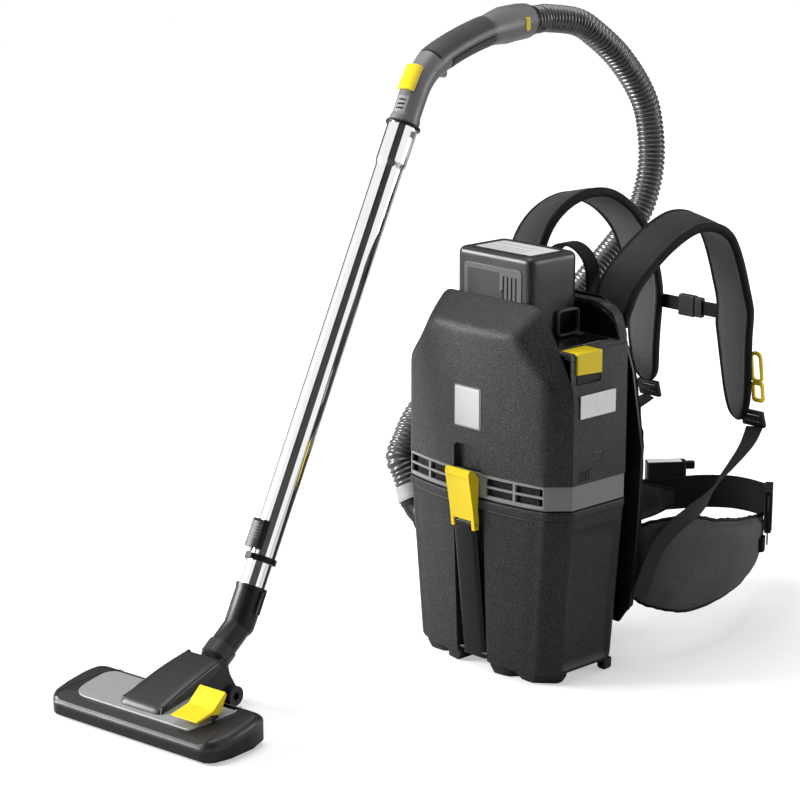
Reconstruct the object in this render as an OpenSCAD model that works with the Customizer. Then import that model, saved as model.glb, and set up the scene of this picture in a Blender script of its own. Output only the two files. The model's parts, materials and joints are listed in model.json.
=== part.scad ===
// Backpack vacuum cleaner: battery pack vacuum on a carrying harness, with hose,
// telescopic wand and floor tool.
// +Z is up, -Y is the front of the pack, +Y is the wearer's side, z = 0 is the floor.

/* [Container] */
// Width of the container rim and of the housing above it
body_w = 294; // [264:2:340]
// Distance from the middle plane to the flat back of the pack
back_y = 75; // [70:1:85]
// Distance from the middle plane to the front corners of the rim
front_y = 73; // [66:1:85]
// Radius of the bowed front, seen from above
bow_r = 500; // [400:10:900]
// Width of the slanted front corners
corner_x = 24; // [16:1:30]
// Depth of the slanted front corners
corner_y = 27; // [18:1:32]
// Size of the slanted rear corners
rear_cut = 22; // [12:1:28]
// Height of the container's rim above the floor
rim_z = 240; // [200:1:288]
// Height of the straight band around the rim
rim_h = 12; // [8:1:16]
// Height of the feet
foot_h = 14; // [10:1:18]
// How much the container draws in on each side towards its floor
draft_x = 16; // [8:1:20]
// How much the container draws in at the front towards its floor
draft_y = 5.5; // [3:0.5:8]
// Wall thickness of the container
wall = 3.5; // [2.5:0.5:5]
// Width of the groove that the closing strap lies in
groove_w = 54; // [48:1:64]
// Depth of that groove
groove_d = 13; // [11:1:16]

/* [Power head] */
// Height of the seal between container and power head
seal_h = 2; // [1.5:0.5:4]
// Height of the light vent band
band_h = 32; // [26:1:38]
// Height of the flat deck beside the battery, above the floor
deck_z = 445; // [430:1:480]
// Height of the front cover above the floor
cover_z = 497; // [475:1:510]
// Height of the rear wall above the floor
rear_z = 490; // [470:1:500]
// Wall thickness of the housings
shell_t = 3; // [2:0.5:4]
// Diameter of the motor casing
motor_d = 110; // [96:2:112]
// Number of blades on the fan
fan_blades = 9; // [7:1:12]

/* [Battery] */
// Width of the battery
battery_w = 133; // [110:1:160]
// Depth of the battery
battery_d = 88; // [72:1:90]
// Height of the battery
battery_h = 132; // [110:1:158]
// Gap between the battery and its bay on each side
bay_gap = 1.5; // [0.5:0.5:3]

/* [Hose] */
// Outer diameter of the ribbed hose
hose_d = 40; // [34:1:42]
// Bore of the hose
hose_bore = 30; // [24:1:32]
// Depth of the groove between two ribs
rib_depth = 2.5; // [1:0.5:2.5]
// Number of ribs along the hose
hose_ribs = 150; // [60:1:190]

/* [Wand] */
// Angle between the wand and the floor
wand_angle = 61; // [55:1:65]
// Turn of the wand and floor tool about the vertical
tool_yaw = 8.2; // [0:0.1:12]
// Outer diameter of the outer tube
tube_d = 37.6; // [34:0.2:40]
// Outer diameter of the sliding inner tube
inner_d = 35; // [31:0.2:36]
// Wall of the inner tube
inner_wall = 0.9; // [0.6:0.1:1.2]
// Length of the outer tube
tube_l = 604; // [500:4:720]
// Length of the socket at the top of the outer tube
socket_l = 55; // [45:1:66]
// Diameter of the grip
grip_d = 43; // [38:1:46]
// Running clearance between tubes, and at pins
fit = 0.06; // [0.03:0.01:0.1]

/* [Floor tool] */
// Width of the floor tool
tool_w = 292; // [240:2:324]
// Depth of the floor tool
tool_d = 100; // [92:1:120]
// Diameter of the tilting barrel
barrel_d = 26; // [22:1:28]

/* [Harness] */
// Width of the shoulder straps
strap_w = 62; // [50:1:74]
// Thickness of the shoulder straps
strap_t = 14; // [10:1:16]
// Sideways distance of each shoulder strap from the middle
strap_x = 82; // [76:1:90]
// Thickness of the back pad at its crown
pad_t = 24; // [18:1:28]
// Thickness of the back plate
plate_t = 4; // [3:0.5:5]
// Width of the hip webbing
webbing_w = 50; // [40:1:50]

/* [Hidden] */
$fn = 48;

// Clearance of pieces that only lie beside each other
seat = 0.3;
half_w = body_w / 2;
bow_steps = 8;
hull_fn = 32;

// Heights up the pack
floor_z = foot_h;
lip_z = rim_z - rim_h;
head_z = rim_z + seal_h;
band_top = head_z + band_h;
plate_z = head_z + 4;
bay_z = deck_z - 22;
battery_top = bay_z + seat + battery_h;

// Depths through the pack
split_y = -46;
rear_y = 60;
plate_y = back_y + seat;
pad_y = plate_y + plate_t + seat;

// Colours
grey = [0.47, 0.47, 0.47];
dark = [0.26, 0.26, 0.27];
black = [0.09, 0.09, 0.1];
light = [0.72, 0.72, 0.72];
yellow = [0.98, 0.85, 0.1];
steel = [0.75, 0.76, 0.78];
cloth = [0.2, 0.2, 0.21];
copper = [0.72, 0.45, 0.2];

// ---------- outlines and skins ----------

// How far the bowed front stands out at x, on a front of half width fh
function bow(x, fh) = sqrt(bow_r * bow_r - x * x) - sqrt(bow_r * bow_r - fh * fh);

// Outline of the pack seen from above, counter-clockwise
function plan(hw, yf, yb) = let (fh = hw - corner_x) concat(
  [for (i = [0:bow_steps]) let (x = fh * (2 * i / bow_steps - 1)) [x, -yf - bow(x, fh)]],
  [[hw, corner_y - yf], [hw, yb - rear_cut], [hw - rear_cut, yb],
   [rear_cut - hw, yb], [-hw, yb - rear_cut], [-hw, corner_y - yf]]);

// The same outline drawn in by g all round
function inner_plan(g) = plan(half_w - g, front_y - g, back_y - g);

function lift(outline, z) = [for (p = outline) [p.x, p.y, z]];

// Triangles along the side of a stack of m rings of n points, clockwise from outside
function side_faces(m, n, first, inward) = [
  for (j = [0:m - 2], i = [0:n - 1])
    let (k = (i + 1) % n, a = first + j * n + i, b = first + j * n + k,
         c = first + (j + 1) * n + k, d = first + (j + 1) * n + i)
      each inward ? [[a, c, d], [a, b, c]] : [[a, d, c], [a, c, b]]];

// Closed solid through a stack of rings; each ring turns counter-clockwise about the path
module skin(rings) {
  n = len(rings[0]);
  m = len(rings);
  polyhedron(points = [for (r = rings) each r],
    faces = concat([[for (i = [0:n - 1]) i]],
      [[for (i = [n - 1:-1:0]) (m - 1) * n + i]], side_faces(m, n, 0, false)));
}

// Skin through rings that run along a curved strip's outer side and back along its inner side
module band(rings) {
  n = len(rings[0]);
  last = (len(rings) - 1) * n;
  polyhedron(points = [for (r = rings) each r],
    faces = concat(side_faces(len(rings), n, 0, false),
      [for (i = [0:n / 2 - 2]) [i, i + 1, n - 2 - i, n - 1 - i]],
      [for (i = [0:n / 2 - 2]) [last + n - 1 - i, last + n - 2 - i, last + i + 1, last + i]]));
}

// Hollow tube between two stacks of rings with open ends
module pipe(outer, inner) {
  n = len(outer[0]);
  m = len(outer);
  q = len(inner);
  last = (m - 1) * n;
  in_last = m * n + (q - 1) * n;
  polyhedron(points = concat([for (r = outer) each r], [for (r = inner) each r]),
    faces = concat(side_faces(m, n, 0, false), side_faces(q, n, m * n, true),
      [for (i = [0:n - 1]) let (k = (i + 1) % n)
        each [[i, k, m * n + k], [i, m * n + k, m * n + i],
              [last + i, in_last + k, last + k], [last + i, in_last + i, in_last + k]]]));
}

function unit(v) = v / norm(v);

// Ring of section points [u, v] about p, with u along ref as far as the path t allows
function place(section, p, t, ref) =
  let (u = unit(ref - (ref * t) * t), v = cross(t, u))
    [for (s = section) p + s.x * u + s.y * v];

// Direction of a path at point i
function heading(path, i) = let (n = len(path) - 1)
  unit(path[min(i + 1, n)] - path[max(i - 1, 0)]);

// Smooth curve through hand-placed points, with steps pieces between two of them
function curve_point(a, b, c, d, t) =
  0.5 * (2 * b + (c - a) * t + (2 * a - 5 * b + 4 * c - d) * t * t
    + (3 * b - a - 3 * c + d) * t * t * t);
function smooth(p, steps) = let (n = len(p) - 1) concat(
  [for (i = [0:n - 1], k = [0:steps - 1])
    curve_point(p[max(i - 1, 0)], p[i], p[i + 1], p[min(i + 2, n)], k / steps)], [p[n]]);

// Running length along a path
function runs(path) = [for (i = 0, s = 0; i < len(path);
  s = s + (i + 1 < len(path) ? norm(path[i + 1] - path[i]) : 0), i = i + 1) s];

// Point of a path at running length s
function along(path, run, s) = [for (axis = [0:2])
  lookup(s, [for (i = [0:len(path) - 1]) [run[i], path[i][axis]]])];

function circle_section(r, n) = [for (i = [0:n - 1]) r * [cos(360 * i / n), sin(360 * i / n)]];

// Rounded flat section of width w and thickness t
function strap_section(w, t) = [for (i = [0:9])
  let (a = 36 * i + 18)
    [w / 2 * sign(cos(a)) * pow(abs(cos(a)), 0.5), t / 2 * sign(sin(a)) * pow(abs(sin(a)), 0.7)]];

function flat_section(w, t) = [[-w / 2, -t / 2], [w / 2, -t / 2], [w / 2, t / 2], [-w / 2, t / 2]];

// Ribbon of width w and thickness t along a path, its width lying towards ref
module ribbon(path, w, t, ref) {
  skin([for (i = [0:len(path) - 1]) place(flat_section(w, t), path[i], heading(path, i), ref)]);
}

// Profile [y, z] swept across the width w, centred on x = 0
module across(w) {
  rotate([90, 0, 90]) linear_extrude(w, center = true) children();
}

// Flat outline [x, z] standing upright, from y0 to y1
module upright(y0, y1) {
  translate([0, y1, 0]) rotate([90, 0, 0]) linear_extrude(y1 - y0) children();
}

module both_sides() {
  children();
  mirror([1, 0, 0]) children();
}

module rounded(w, d, r) {
  square([w - 2 * r, d], center = true);
  square([w, d - 2 * r], center = true);
  for (x = [-1, 1], y = [-1, 1]) translate([x * (w / 2 - r), y * (d / 2 - r)]) circle(r);
}

module ring_shape(outer, inner) {
  difference() {
    polygon(outer);
    polygon(inner);
  }
}

module x_rod(r, x0, x1) {
  translate([x0, 0, 0]) rotate([0, 90, 0]) cylinder(r = r, h = x1 - x0);
}

// ---------- container ----------

// Half width and front of the container at height z
function low(z) = (lip_z - z) / (lip_z - floor_z);
top_inset = 2;
function can_plan(z, g) = plan(half_w - top_inset - draft_x * low(z) - g,
  front_y - 1 - draft_y * low(z) - g, back_y - 2 * low(z) - g);
function can_front(z) = let (hw = half_w - top_inset - draft_x * low(z) - corner_x)
  -(front_y - 1 - draft_y * low(z) + bow(0, hw));
can_draft = atan(draft_x / (lip_z - floor_z));

hinge_y = can_front(floor_z) + 6;
hinge_z = floor_z + 10;
hinge_r = 3;
boss_l = 8;

module strap_groove(g) {
  across(groove_w + 2 * g) polygon([[-200, floor_z - 1], [can_front(floor_z) + groove_d + g, floor_z - 1],
    [can_front(lip_z) + groove_d + g, lip_z - (g > 0 ? 0 : 2)], [-200, lip_z - (g > 0 ? 0 : 2)]]);
}

// Outline of a front foot, drawn in by g
foot_in = 5;
function foot_plan(g) = let (hw = half_w - top_inset - draft_x - foot_in, fh = hw - corner_x,
    yf = front_y - 1 - draft_y - foot_in, x0 = groove_w / 2 + 1 + g, x1 = fh - g / 2)
  concat([for (i = [0:4]) let (x = x0 + (x1 - x0) * i / 4) [x, g - yf - bow(x, fh)]],
    [[hw - g, corner_y - yf], [hw - g, -30 - g], [x0, -30 - g]]);

module feet() {
  bevel = 2.5;
  both_sides() skin([lift(foot_plan(bevel), 0), lift(foot_plan(0), bevel),
    lift(foot_plan(0), floor_z + 1)]);
  both_sides() translate([half_w - 33, 45, 0]) cube([13, 14, floor_z + 1]);
  translate([0, 2.5, 0]) linear_extrude(floor_z + 1) difference() {
    rounded(160, 85, 12);
    rounded(144, 69, 6);
  }
}

// Where the hose enters: centre of the port on the left wall
port_x = -(half_w - 3);
port_y = -18;
port_z = lip_z - 60.5;
port_r = 17;

module dust_container() {
  panel_t = 1.8;
  color(grey) difference() {
    union() {
      skin([lift(can_plan(floor_z, 0), floor_z), lift(can_plan(lip_z, 0), lip_z)]);
      translate([0, 0, lip_z]) linear_extrude(rim_h) polygon(inner_plan(0));
      feet();
      translate([port_x, port_y, port_z]) x_rod(29, 0, 10);
    }
    difference() {
      union() {
        skin([lift(can_plan(floor_z + wall, wall), floor_z + wall), lift(can_plan(lip_z, wall), lip_z)]);
        translate([0, 0, lip_z - 0.01]) linear_extrude(rim_h + 1) polygon(can_plan(lip_z, wall));
      }
      strap_groove(wall);
      both_sides() translate([groove_w / 2, hinge_y, hinge_z]) x_rod(hinge_r + 4, 0, boss_l);
    }
    strap_groove(0);
    translate([0, hinge_y, hinge_z])
      x_rod(hinge_r + fit, -groove_w / 2 - boss_l + 2, groove_w / 2 + boss_l - 2);
    translate([port_x - 1, port_y, port_z]) x_rod(port_r, 0, 20);
    both_sides() translate([half_w - top_inset - draft_x / 2, 10, (floor_z + lip_z) / 2])
      rotate([0, can_draft, 0]) translate([-panel_t, -40, 20 - (lip_z - floor_z) / 2])
        cube([20, 80, lip_z - floor_z - 26]);
  }
}

module container_seal() {
  color(black) translate([0, 0, rim_z]) linear_extrude(seal_h)
    ring_shape(inner_plan(3), inner_plan(9));
}

module filter_basket() {
  basket_r = 48;
  basket_h = 46;
  slots = 12;
  color(dark) translate([0, 12, head_z - basket_h]) difference() {
    union() {
      cylinder(r = basket_r, h = basket_h);
      translate([0, 0, basket_h - 3]) cylinder(r = basket_r + 4, h = 3);
    }
    translate([0, 0, 2.5]) cylinder(r = basket_r - 2.5, h = basket_h);
    for (i = [0:slots - 1]) rotate(360 * i / slots)
      translate([basket_r - 8, -8, 7]) cube([16, 16, basket_h - 16]);
  }
}

bag_top = lip_z - 50;
module filter_bag() {
  bag_hw = half_w - draft_x - 14;
  color([0.85, 0.83, 0.78]) skin([
    lift(plan(bag_hw - 12, front_y - 38, back_y - 24), floor_z + wall + seat),
    lift(plan(bag_hw, front_y - 28, back_y - 14), floor_z + 30),
    lift(plan(bag_hw, front_y - 28, back_y - 14), bag_top - 24),
    lift(plan(bag_hw - 30, front_y - 46, back_y - 34), bag_top - 4)]);
}

// ---------- inlet elbow and hose ----------
bend_r = 28;
duct_r = 20;
rise = 60;
spigot_l = 4;
cuff_l = 21;
exit_dir = [-cos(rise), 0, sin(rise)];
bend_x = port_x - 2;
bend_end = [bend_x - bend_r * sin(rise), port_y, port_z + bend_r * (1 - cos(rise))];
cuff_start = bend_end + spigot_l * exit_dir;
hose_exit = cuff_start + cuff_l * exit_dir;

module along_exit(p) {
  translate(p) rotate([0, rise - 90, 0]) children();
}

module elbow_solid(r) {
  translate([bend_x, port_y, port_z + bend_r]) rotate([90, 0, 0]) rotate([0, 0, 270 - rise])
    rotate_extrude(angle = rise) translate([bend_r, 0]) circle(r);
}

module inlet_elbow() {
  color(dark) difference() {
    union() {
      elbow_solid(duct_r);
      translate([port_x, port_y, port_z]) x_rod(27, -4, 0);
      along_exit(bend_end) translate([0, 0, -2]) cylinder(r = duct_r + 1.5, h = spigot_l + 2 - seat);
      along_exit(bend_end) cylinder(r = port_r + 1.5, h = spigot_l + cuff_l - 4);
    }
    elbow_solid(port_r - 1);
    translate([port_x, port_y, port_z]) x_rod(port_r - 0.6, -3, 1);
    along_exit(bend_end) translate([0, 0, -1]) cylinder(r = port_r - 0.6, h = 40);
  }
}

module hose_cuff() {
  color(light) along_exit(cuff_start) difference() {
    union() {
      cylinder(r = 23.5, h = 5);
      translate([0, 0, 5]) cylinder(r1 = 22.5, r2 = 21, h = cuff_l - 5);
    }
    translate([0, 0, -1]) cylinder(r = port_r + 1.5 + fit, h = cuff_l - 3 + fit);
    cylinder(r = hose_bore / 2, h = 60);
  }
}

// Wand plane: every wand piece is laid out in x (across), y (forwards), z (up)
tool_x = -109.5;
tool_y = -563;
module tool_frame() {
  translate([tool_x, tool_y, 0]) rotate([0, 0, tool_yaw]) children();
}
function to_pack(p) = [tool_x + p.x * cos(tool_yaw) - p.y * sin(tool_yaw),
  tool_y + p.x * sin(tool_yaw) + p.y * cos(tool_yaw), p.z];

// Lower end of the straight wand
neck_y = 232;
neck_z = 138;
ring_s = 36;
collar_s = ring_s + tube_l;
function wand_point(s) = [0, neck_y + s * cos(wand_angle), neck_z + s * sin(wand_angle)];
module on_wand(s) {
  tool_frame() translate(wand_point(s)) rotate([wand_angle - 90, 0, 0]) children();
}

// Handle: straight from the collar, one short and one long arc, ending level
grip_l1 = 43;
grip_r1 = 98;
grip_a = 20;
grip_r2 = 575;
arc1 = grip_r1 * (wand_angle - grip_a) * PI / 180;
arc2 = grip_r2 * grip_a * PI / 180;
handle_l = grip_l1 + arc1 + arc2;
function grip_tilt(d) = d <= grip_l1 ? wand_angle
  : d <= grip_l1 + arc1 ? wand_angle - (d - grip_l1) / grip_r1 * 180 / PI
  : max(0, grip_a - (d - grip_l1 - arc1) / grip_r2 * 180 / PI);
function arc_step(p, r, a, b) = p + r * [0, sin(a) - sin(b), cos(b) - cos(a)];
function grip_point(d) = let (p0 = wand_point(collar_s), p1 = wand_point(collar_s + min(d, grip_l1)))
  d <= grip_l1 ? p1
  : let (a = grip_tilt(d), p2 = arc_step(p1, grip_r1, wand_angle, max(a, grip_a)))
    d <= grip_l1 + arc1 ? p2
    : let (p3 = arc_step(p2, grip_r2, grip_a, a)) p3 + [0, max(0, d - handle_l), 0];
cuff2_l = 14;
hose_end = to_pack(grip_point(handle_l + cuff2_l));
end_dir = [sin(tool_yaw), -cos(tool_yaw), 0];

// Hose route, hand-placed, from the pack's cuff behind the pack to the handle's cuff
hose_gap = 0.1;
hose_start = hose_exit + hose_gap * exit_dir;
hose_stop = hose_end - hose_gap * end_dir;
hose_route = concat([hose_start, hose_start + 20 * exit_dir, hose_start + 40 * exit_dir],
  [[-206, -2, 260], [-209, 14, 280], [-209, 34, 299], [-208, 58, 316], [-206, 86, 329],
   [-203, 118, 339], [-200, 152, 346], [-199, 192, 352], [-201, 233, 361], [-206, 276, 376],
   [-212, 318, 396], [-216, 358, 421], [-213, 402, 456], [-209, 442, 490], [-206, 472, 524],
   [-205, 488, 561], [-205, 494, 600], [-206, 491, 640], [-208, 482, 678], [-213, 463, 714],
   [-221, 432, 753], [-230, 396, 784], [-236, 360, 805]],
  [hose_stop - 40 * end_dir, hose_stop - 20 * end_dir, hose_stop]);
hose_curve = smooth(hose_route, 6);
hose_run = runs(hose_curve);
hose_l = hose_run[len(hose_run) - 1];
hose_sides = 8;
bore_rings = 60;
// Two rings a rib: the crest and the groove after it
function hose_ring(s, r) = place(circle_section(r, hose_sides), along(hose_curve, hose_run, s),
  unit(along(hose_curve, hose_run, min(s + 4, hose_l)) - along(hose_curve, hose_run, max(s - 4, 0))),
  [1, 0, 0]);
// Least distance between stretches of the hose that lie two diameters or more apart
hose_marks = [for (s = [0:20:hose_l]) [s, along(hose_curve, hose_run, s)]];
hose_clear = min([for (a = hose_marks, b = hose_marks) if (b[0] - a[0] > 2.5 * hose_d)
  norm(a[1] - b[1]) - hose_d]);
echo(hose_length = hose_l, hose_least_gap = hose_clear);

module suction_hose() {
  count = 2 * hose_ribs;
  color(grey) pipe(
    [for (i = [0:count]) hose_ring(hose_l * i / count, hose_d / 2 - (i % 2 == 1 ? rib_depth : 0))],
    [for (i = [0:bore_rings]) hose_ring(hose_l * i / bore_rings, hose_bore / 2)]);
}

module swivel_cuff() {
  color(black) tool_frame() translate(grip_point(handle_l)) rotate([-90, 0, 0]) difference() {
    union() {
      translate([0, 0, seat]) cylinder(r = 23, h = 5);
      translate([0, 0, 5]) cylinder(r1 = 22.5, r2 = 21, h = cuff2_l - 5);
      translate([0, 0, -12]) cylinder(r = 18, h = 14);
    }
    translate([0, 0, -13]) cylinder(r = hose_bore / 2, h = 60);
  }
}

// ---------- closing strap and latch ----------
pin_z = lip_z - 23;
pin_y = can_front(pin_z) - 5.3;
pin_r = 2;
latch_w = 43;
module closure_strap() {
  w = latch_w - 1;
  color(black) difference() {
    union() {
      across(w) polygon([[hinge_y + 3, hinge_z - 6], [hinge_y + 3, hinge_z + 8],
        [pin_y + 3, pin_z - 30], [pin_y + 3, pin_z - 9.5], [pin_y - 2.5, pin_z - 9.5],
        [hinge_y - 3, hinge_z + 8], [hinge_y - 3, hinge_z - 6]]);
      across(w - 12) polygon([[pin_y + 3, pin_z - 12], [pin_y + 3, pin_z + 3], [pin_y + 1, pin_z + 4],
        [pin_y - 2, pin_z + 4], [pin_y - 3.4, pin_z + 2], [pin_y - 3.4, pin_z - 12]]);
      translate([0, hinge_y, hinge_z])
        x_rod(hinge_r, -groove_w / 2 - boss_l + 2.5, groove_w / 2 + boss_l - 2.5);
    }
    translate([0, pin_y, pin_z]) x_rod(pin_r + fit, -w, w);
    for (z = [60:36:pin_z - 40]) translate([0, hinge_y - 12, z]) cube([w - 14, 16, 14], center = true);
  }
}

latch_top = head_z + 36;
module front_latch() {
  ribs = 5;
  color(yellow) difference() {
    across(latch_w) polygon([[pin_y + 3.5, pin_z - 7], [pin_y - 4, pin_z - 7], [pin_y - 7, pin_z + 18],
      [pin_y - 16, latch_top - 6], [pin_y - 16, latch_top - 1], [pin_y - 13, latch_top + 2],
      [pin_y - 5, latch_top], [pin_y + 1, latch_top - 9], [pin_y + 3.5, latch_top - 12],
      [can_front(lip_z) - 2.6, lip_z - 2], [pin_y + 3.5, pin_z + 5]]);
    across(latch_w - 11) polygon([[pin_y - 30, pin_z - 20], [pin_y + 30, pin_z - 20],
      [pin_y + 30, pin_z + 5.5], [pin_y - 30, pin_z + 5.5]]);
    translate([0, pin_y, pin_z]) x_rod(pin_r + fit, -30, 30);
    for (i = [0:ribs - 1]) translate([0, pin_y - 15, latch_top - 14 + 2.6 * i])
      rotate([45, 0, 0]) cube([latch_w - 8, 1.2, 1.2], center = true);
  }
}

module latch_pin() {
  color(steel) translate([0, pin_y, pin_z]) x_rod(pin_r, -latch_w / 2 + 0.5, latch_w / 2 - 0.5);
}

// ---------- power head ----------
boss_x = half_w - 12;
boss_ys = [-10, 40];
motor_y = 12;
motor_r = motor_d / 2;
motor_top = bay_z - shell_t - 8;

module head_base() {
  board_posts = [[74, -26], [116, -26], [74, 48], [116, 48]];
  color(dark) difference() {
    union() {
      translate([0, 0, head_z]) linear_extrude(plate_z - head_z) polygon(inner_plan(1 + shell_t + seat));
      both_sides() for (y = boss_ys) translate([boss_x, y, plate_z - 1])
        cylinder(r = 6, h = band_top - plate_z + 1);
      for (p = board_posts) translate([p.x, p.y, plate_z - 1]) cylinder(r = 3, h = 9);
    }
    translate([0, motor_y, head_z - 1]) cylinder(r = 24, h = 10);
    both_sides() for (y = boss_ys) translate([boss_x, y, head_z - 1]) {
      cylinder(r = 2 + fit, h = 60);
      cylinder(r = 4.2, h = 3.2);
    }
  }
}

module vent_band() {
  outer_x = half_w - 1 - corner_x;
  slot_x = [[33, 0.61 * outer_x + 1], [0.61 * outer_x + 5, outer_x - 2]];
  color(light) difference() {
    translate([0, 0, head_z]) linear_extrude(band_h)
      ring_shape(inner_plan(1), inner_plan(1 + shell_t));
    both_sides() for (s = slot_x, row = [0, 1])
      translate([s[0], -front_y - 40, head_z + 5 + row * (band_h / 2 - 3)])
        cube([s[1] - s[0], 60, band_h / 2 - 6]);
  }
}

// Silhouette of the rear wall seen from the front
function rear_shape(g) = [[-half_w + g, band_top - 1], [half_w - g, band_top - 1],
  [half_w - g, band_top + 34],
  [half_w - 3 - g, rear_z - 92], [half_w - 16 - g, rear_z - 54], [half_w - 31 - g, rear_z - 15 - g / 2],
  [half_w - 43 - g, rear_z - 5 - g], [half_w - 69 - g, rear_z - g], [69 - half_w + g, rear_z - g],
  [43 - half_w + g, rear_z - 5 - g], [31 - half_w + g, rear_z - 15 - g / 2],
  [16 - half_w + g, rear_z - 54], [3 - half_w + g, rear_z - 92], [g - half_w, band_top + 34]];
function deck_shape(g) = [[g - half_w, band_top - 1], [half_w - g, band_top - 1],
  [half_w - g, band_top + 40], [half_w - 3 - g, deck_z - 3 - g], [half_w - 7 - g, deck_z - g],
  [42 - half_w + g, deck_z - g], [g - half_w, deck_z - 66 - g]];

module housing_block(g) {
  intersection() {
    translate([0, 0, band_top - (g > 0 ? 1 : 0)]) linear_extrude(rear_z) polygon(inner_plan(g));
    union() {
      upright(split_y - (g > 0 ? 2 : 0), rear_y + 4) polygon(deck_shape(g));
      upright(rear_y + g, back_y + 2) polygon(rear_shape(g));
    }
  }
}

bay_w = battery_w + 2 * bay_gap;
bay_back = battery_d / 2 + bay_gap;
button_y = [-40, 5];
button_x = half_w - 30;
button_z = deck_z - 40;
button_travel = 4;
module button_pocket(g) {
  depth = 7 + g;
  clear = 1 - seat + g;
  y0 = button_y[0] - clear;
  y1 = button_y[1] + clear;
  translate([half_w - 1 - depth, y0, button_z - clear]) cube([40, y1 - y0, 80]);
  translate([button_x - button_travel - 1 - g, y0, deck_z - depth]) cube([60, y1 - y0, 40]);
}

lens_y = 1.5;
lens_z = band_top + 31.5;
module main_housing() {
  color(grey) difference() {
    housing_block(0);
    difference() {
      housing_block(shell_t);
      translate([-bay_w / 2 - shell_t, -200, bay_z - shell_t])
        cube([bay_w + 2 * shell_t, 200 + bay_back + shell_t, 200]);
      button_pocket(shell_t - 0.5);
      both_sides() for (y = boss_ys) translate([boss_x, y, band_top - 5]) cylinder(r = 9.5, h = 30);
    }
    translate([-bay_w / 2, -200, bay_z]) cube([bay_w, 200 + bay_back, 200]);
    button_pocket(0);
    translate([half_w - 30, -17, deck_z - 20]) x_rod(4 + fit, 0, 40);
    both_sides() for (y = boss_ys) translate([boss_x, y, band_top - 5]) cylinder(r = 2 + fit, h = 26);
    translate([half_w - 10, lens_y - 7.5, lens_z - 6.5]) cube([20, 15, 13]);
    both_sides() for (i = [0:3]) translate([half_w - 1.2, -34 + 5 * i, band_top + 4]) cube([4, 2.4, 14]);
  }
}

// Bowed front face: half width and height of its edge, from the middle outwards
face_edge = [[0, 0], [0.61, 0], [0.74, 24], [1, 56]];
cover_hw = half_w - corner_x;
cover_face_z = cover_z - 34;
module cover_block(g) {
  hw = cover_hw - g;
  hull() {
    upright(split_y - 0.1, split_y + (g > 0 ? 1 : 0)) polygon([[-half_w + g, band_top - (g > 0 ? 1 : 0)],
      [half_w - g, band_top - (g > 0 ? 1 : 0)],
      [half_w - g, cover_z - 102], [half_w - 35 - g, cover_z - 37 - g], [half_w - 64 - g, cover_z - g],
      [64 - half_w + g, cover_z - g], [35 - half_w + g, cover_z - 37 - g], [-half_w + g, cover_z - 102]]);
    for (i = [-bow_steps:bow_steps])
      let (x = hw * i / bow_steps, top = cover_face_z - g - lookup(abs(i) / bow_steps, face_edge))
        translate([x - 0.05, g - front_y - bow(x, hw), band_top - (g > 0 ? 1 : 0)])
          cube([0.1, 0.1, top - band_top + (g > 0 ? 1 : 0)]);
  }
}

module finger_recess(g) {
  z0 = latch_top - 3;
  translate([0, -front_y - 22, z0 + 16 + g / 2]) rotate([90, 0, 0])
    linear_extrude(50, center = true) rounded(48 + 2 * g, 32 + g, 8);
}

module front_cover() {
  recess_y = -front_y - 5;
  color(grey) difference() {
    cover_block(0);
    difference() {
      cover_block(shell_t);
      translate([-200, split_y - shell_t, bay_z - shell_t - 4]) cube([400, 40, 200]);
      intersection() {
        finger_recess(2 * shell_t);
        translate([-50, -200, band_top - 5]) cube([100, 200 + recess_y + shell_t, 100]);
      }
    }
    intersection() {
      finger_recess(0);
      translate([-50, -200, band_top - 5]) cube([100, 200 + recess_y, 100]);
    }
  }
}

module motor_casing() {
  vents = 16;
  h = motor_top - plate_z;
  color(dark) translate([0, motor_y, plate_z]) difference() {
    union() {
      cylinder(r = motor_r, h = h);
      for (i = [0:2]) rotate(120 * i + 30) translate([motor_r - 4, -5, 0]) cube([12, 10, 6]);
    }
    difference() {
      translate([0, 0, 3]) cylinder(r = motor_r - 3, h = h - 6);
      translate([0, 0, 46]) cylinder(r = motor_r, h = 4);
      translate([0, 0, h - 26]) cylinder(r = 16, h = 24);
    }
    translate([0, 0, -1]) cylinder(r = 24, h = 10);
    translate([0, 0, 45]) cylinder(r = 11 + fit, h = 7.01);
    for (i = [0:7]) rotate(45 * i) translate([34, 0, 45]) cylinder(r = 7, h = 8);
    translate([0, 0, h - 27]) cylinder(r = 11 + fit, h = 8);
    for (i = [0:vents - 1]) rotate(360 * i / vents) translate([motor_r - 8, -3, h - 34]) cube([16, 6, 24]);
  }
}

stator_z = plate_z + 58;
module motor_stator() {
  poles = 6;
  color(copper) translate([0, motor_y, stator_z]) {
    difference() {
      cylinder(r = 38, h = 34);
      translate([0, 0, -1]) cylinder(r = 20.6, h = 40);
    }
    for (i = [0:3]) rotate(90 * i) translate([30, -6, 5]) cube([motor_r - 4 - 30, 12, 24]);
    for (i = [0:poles - 1]) rotate(360 * i / poles) translate([29, 0, -5])
      cylinder(r = 6.5, h = 44);
  }
}

module motor_bearings() {
  color(steel) for (z = [plate_z + 46, motor_top - 26]) translate([0, motor_y, z]) difference() {
    cylinder(r = 11, h = 6);
    translate([0, 0, -1]) cylinder(r = 4 + fit, h = 10);
  }
}

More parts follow.
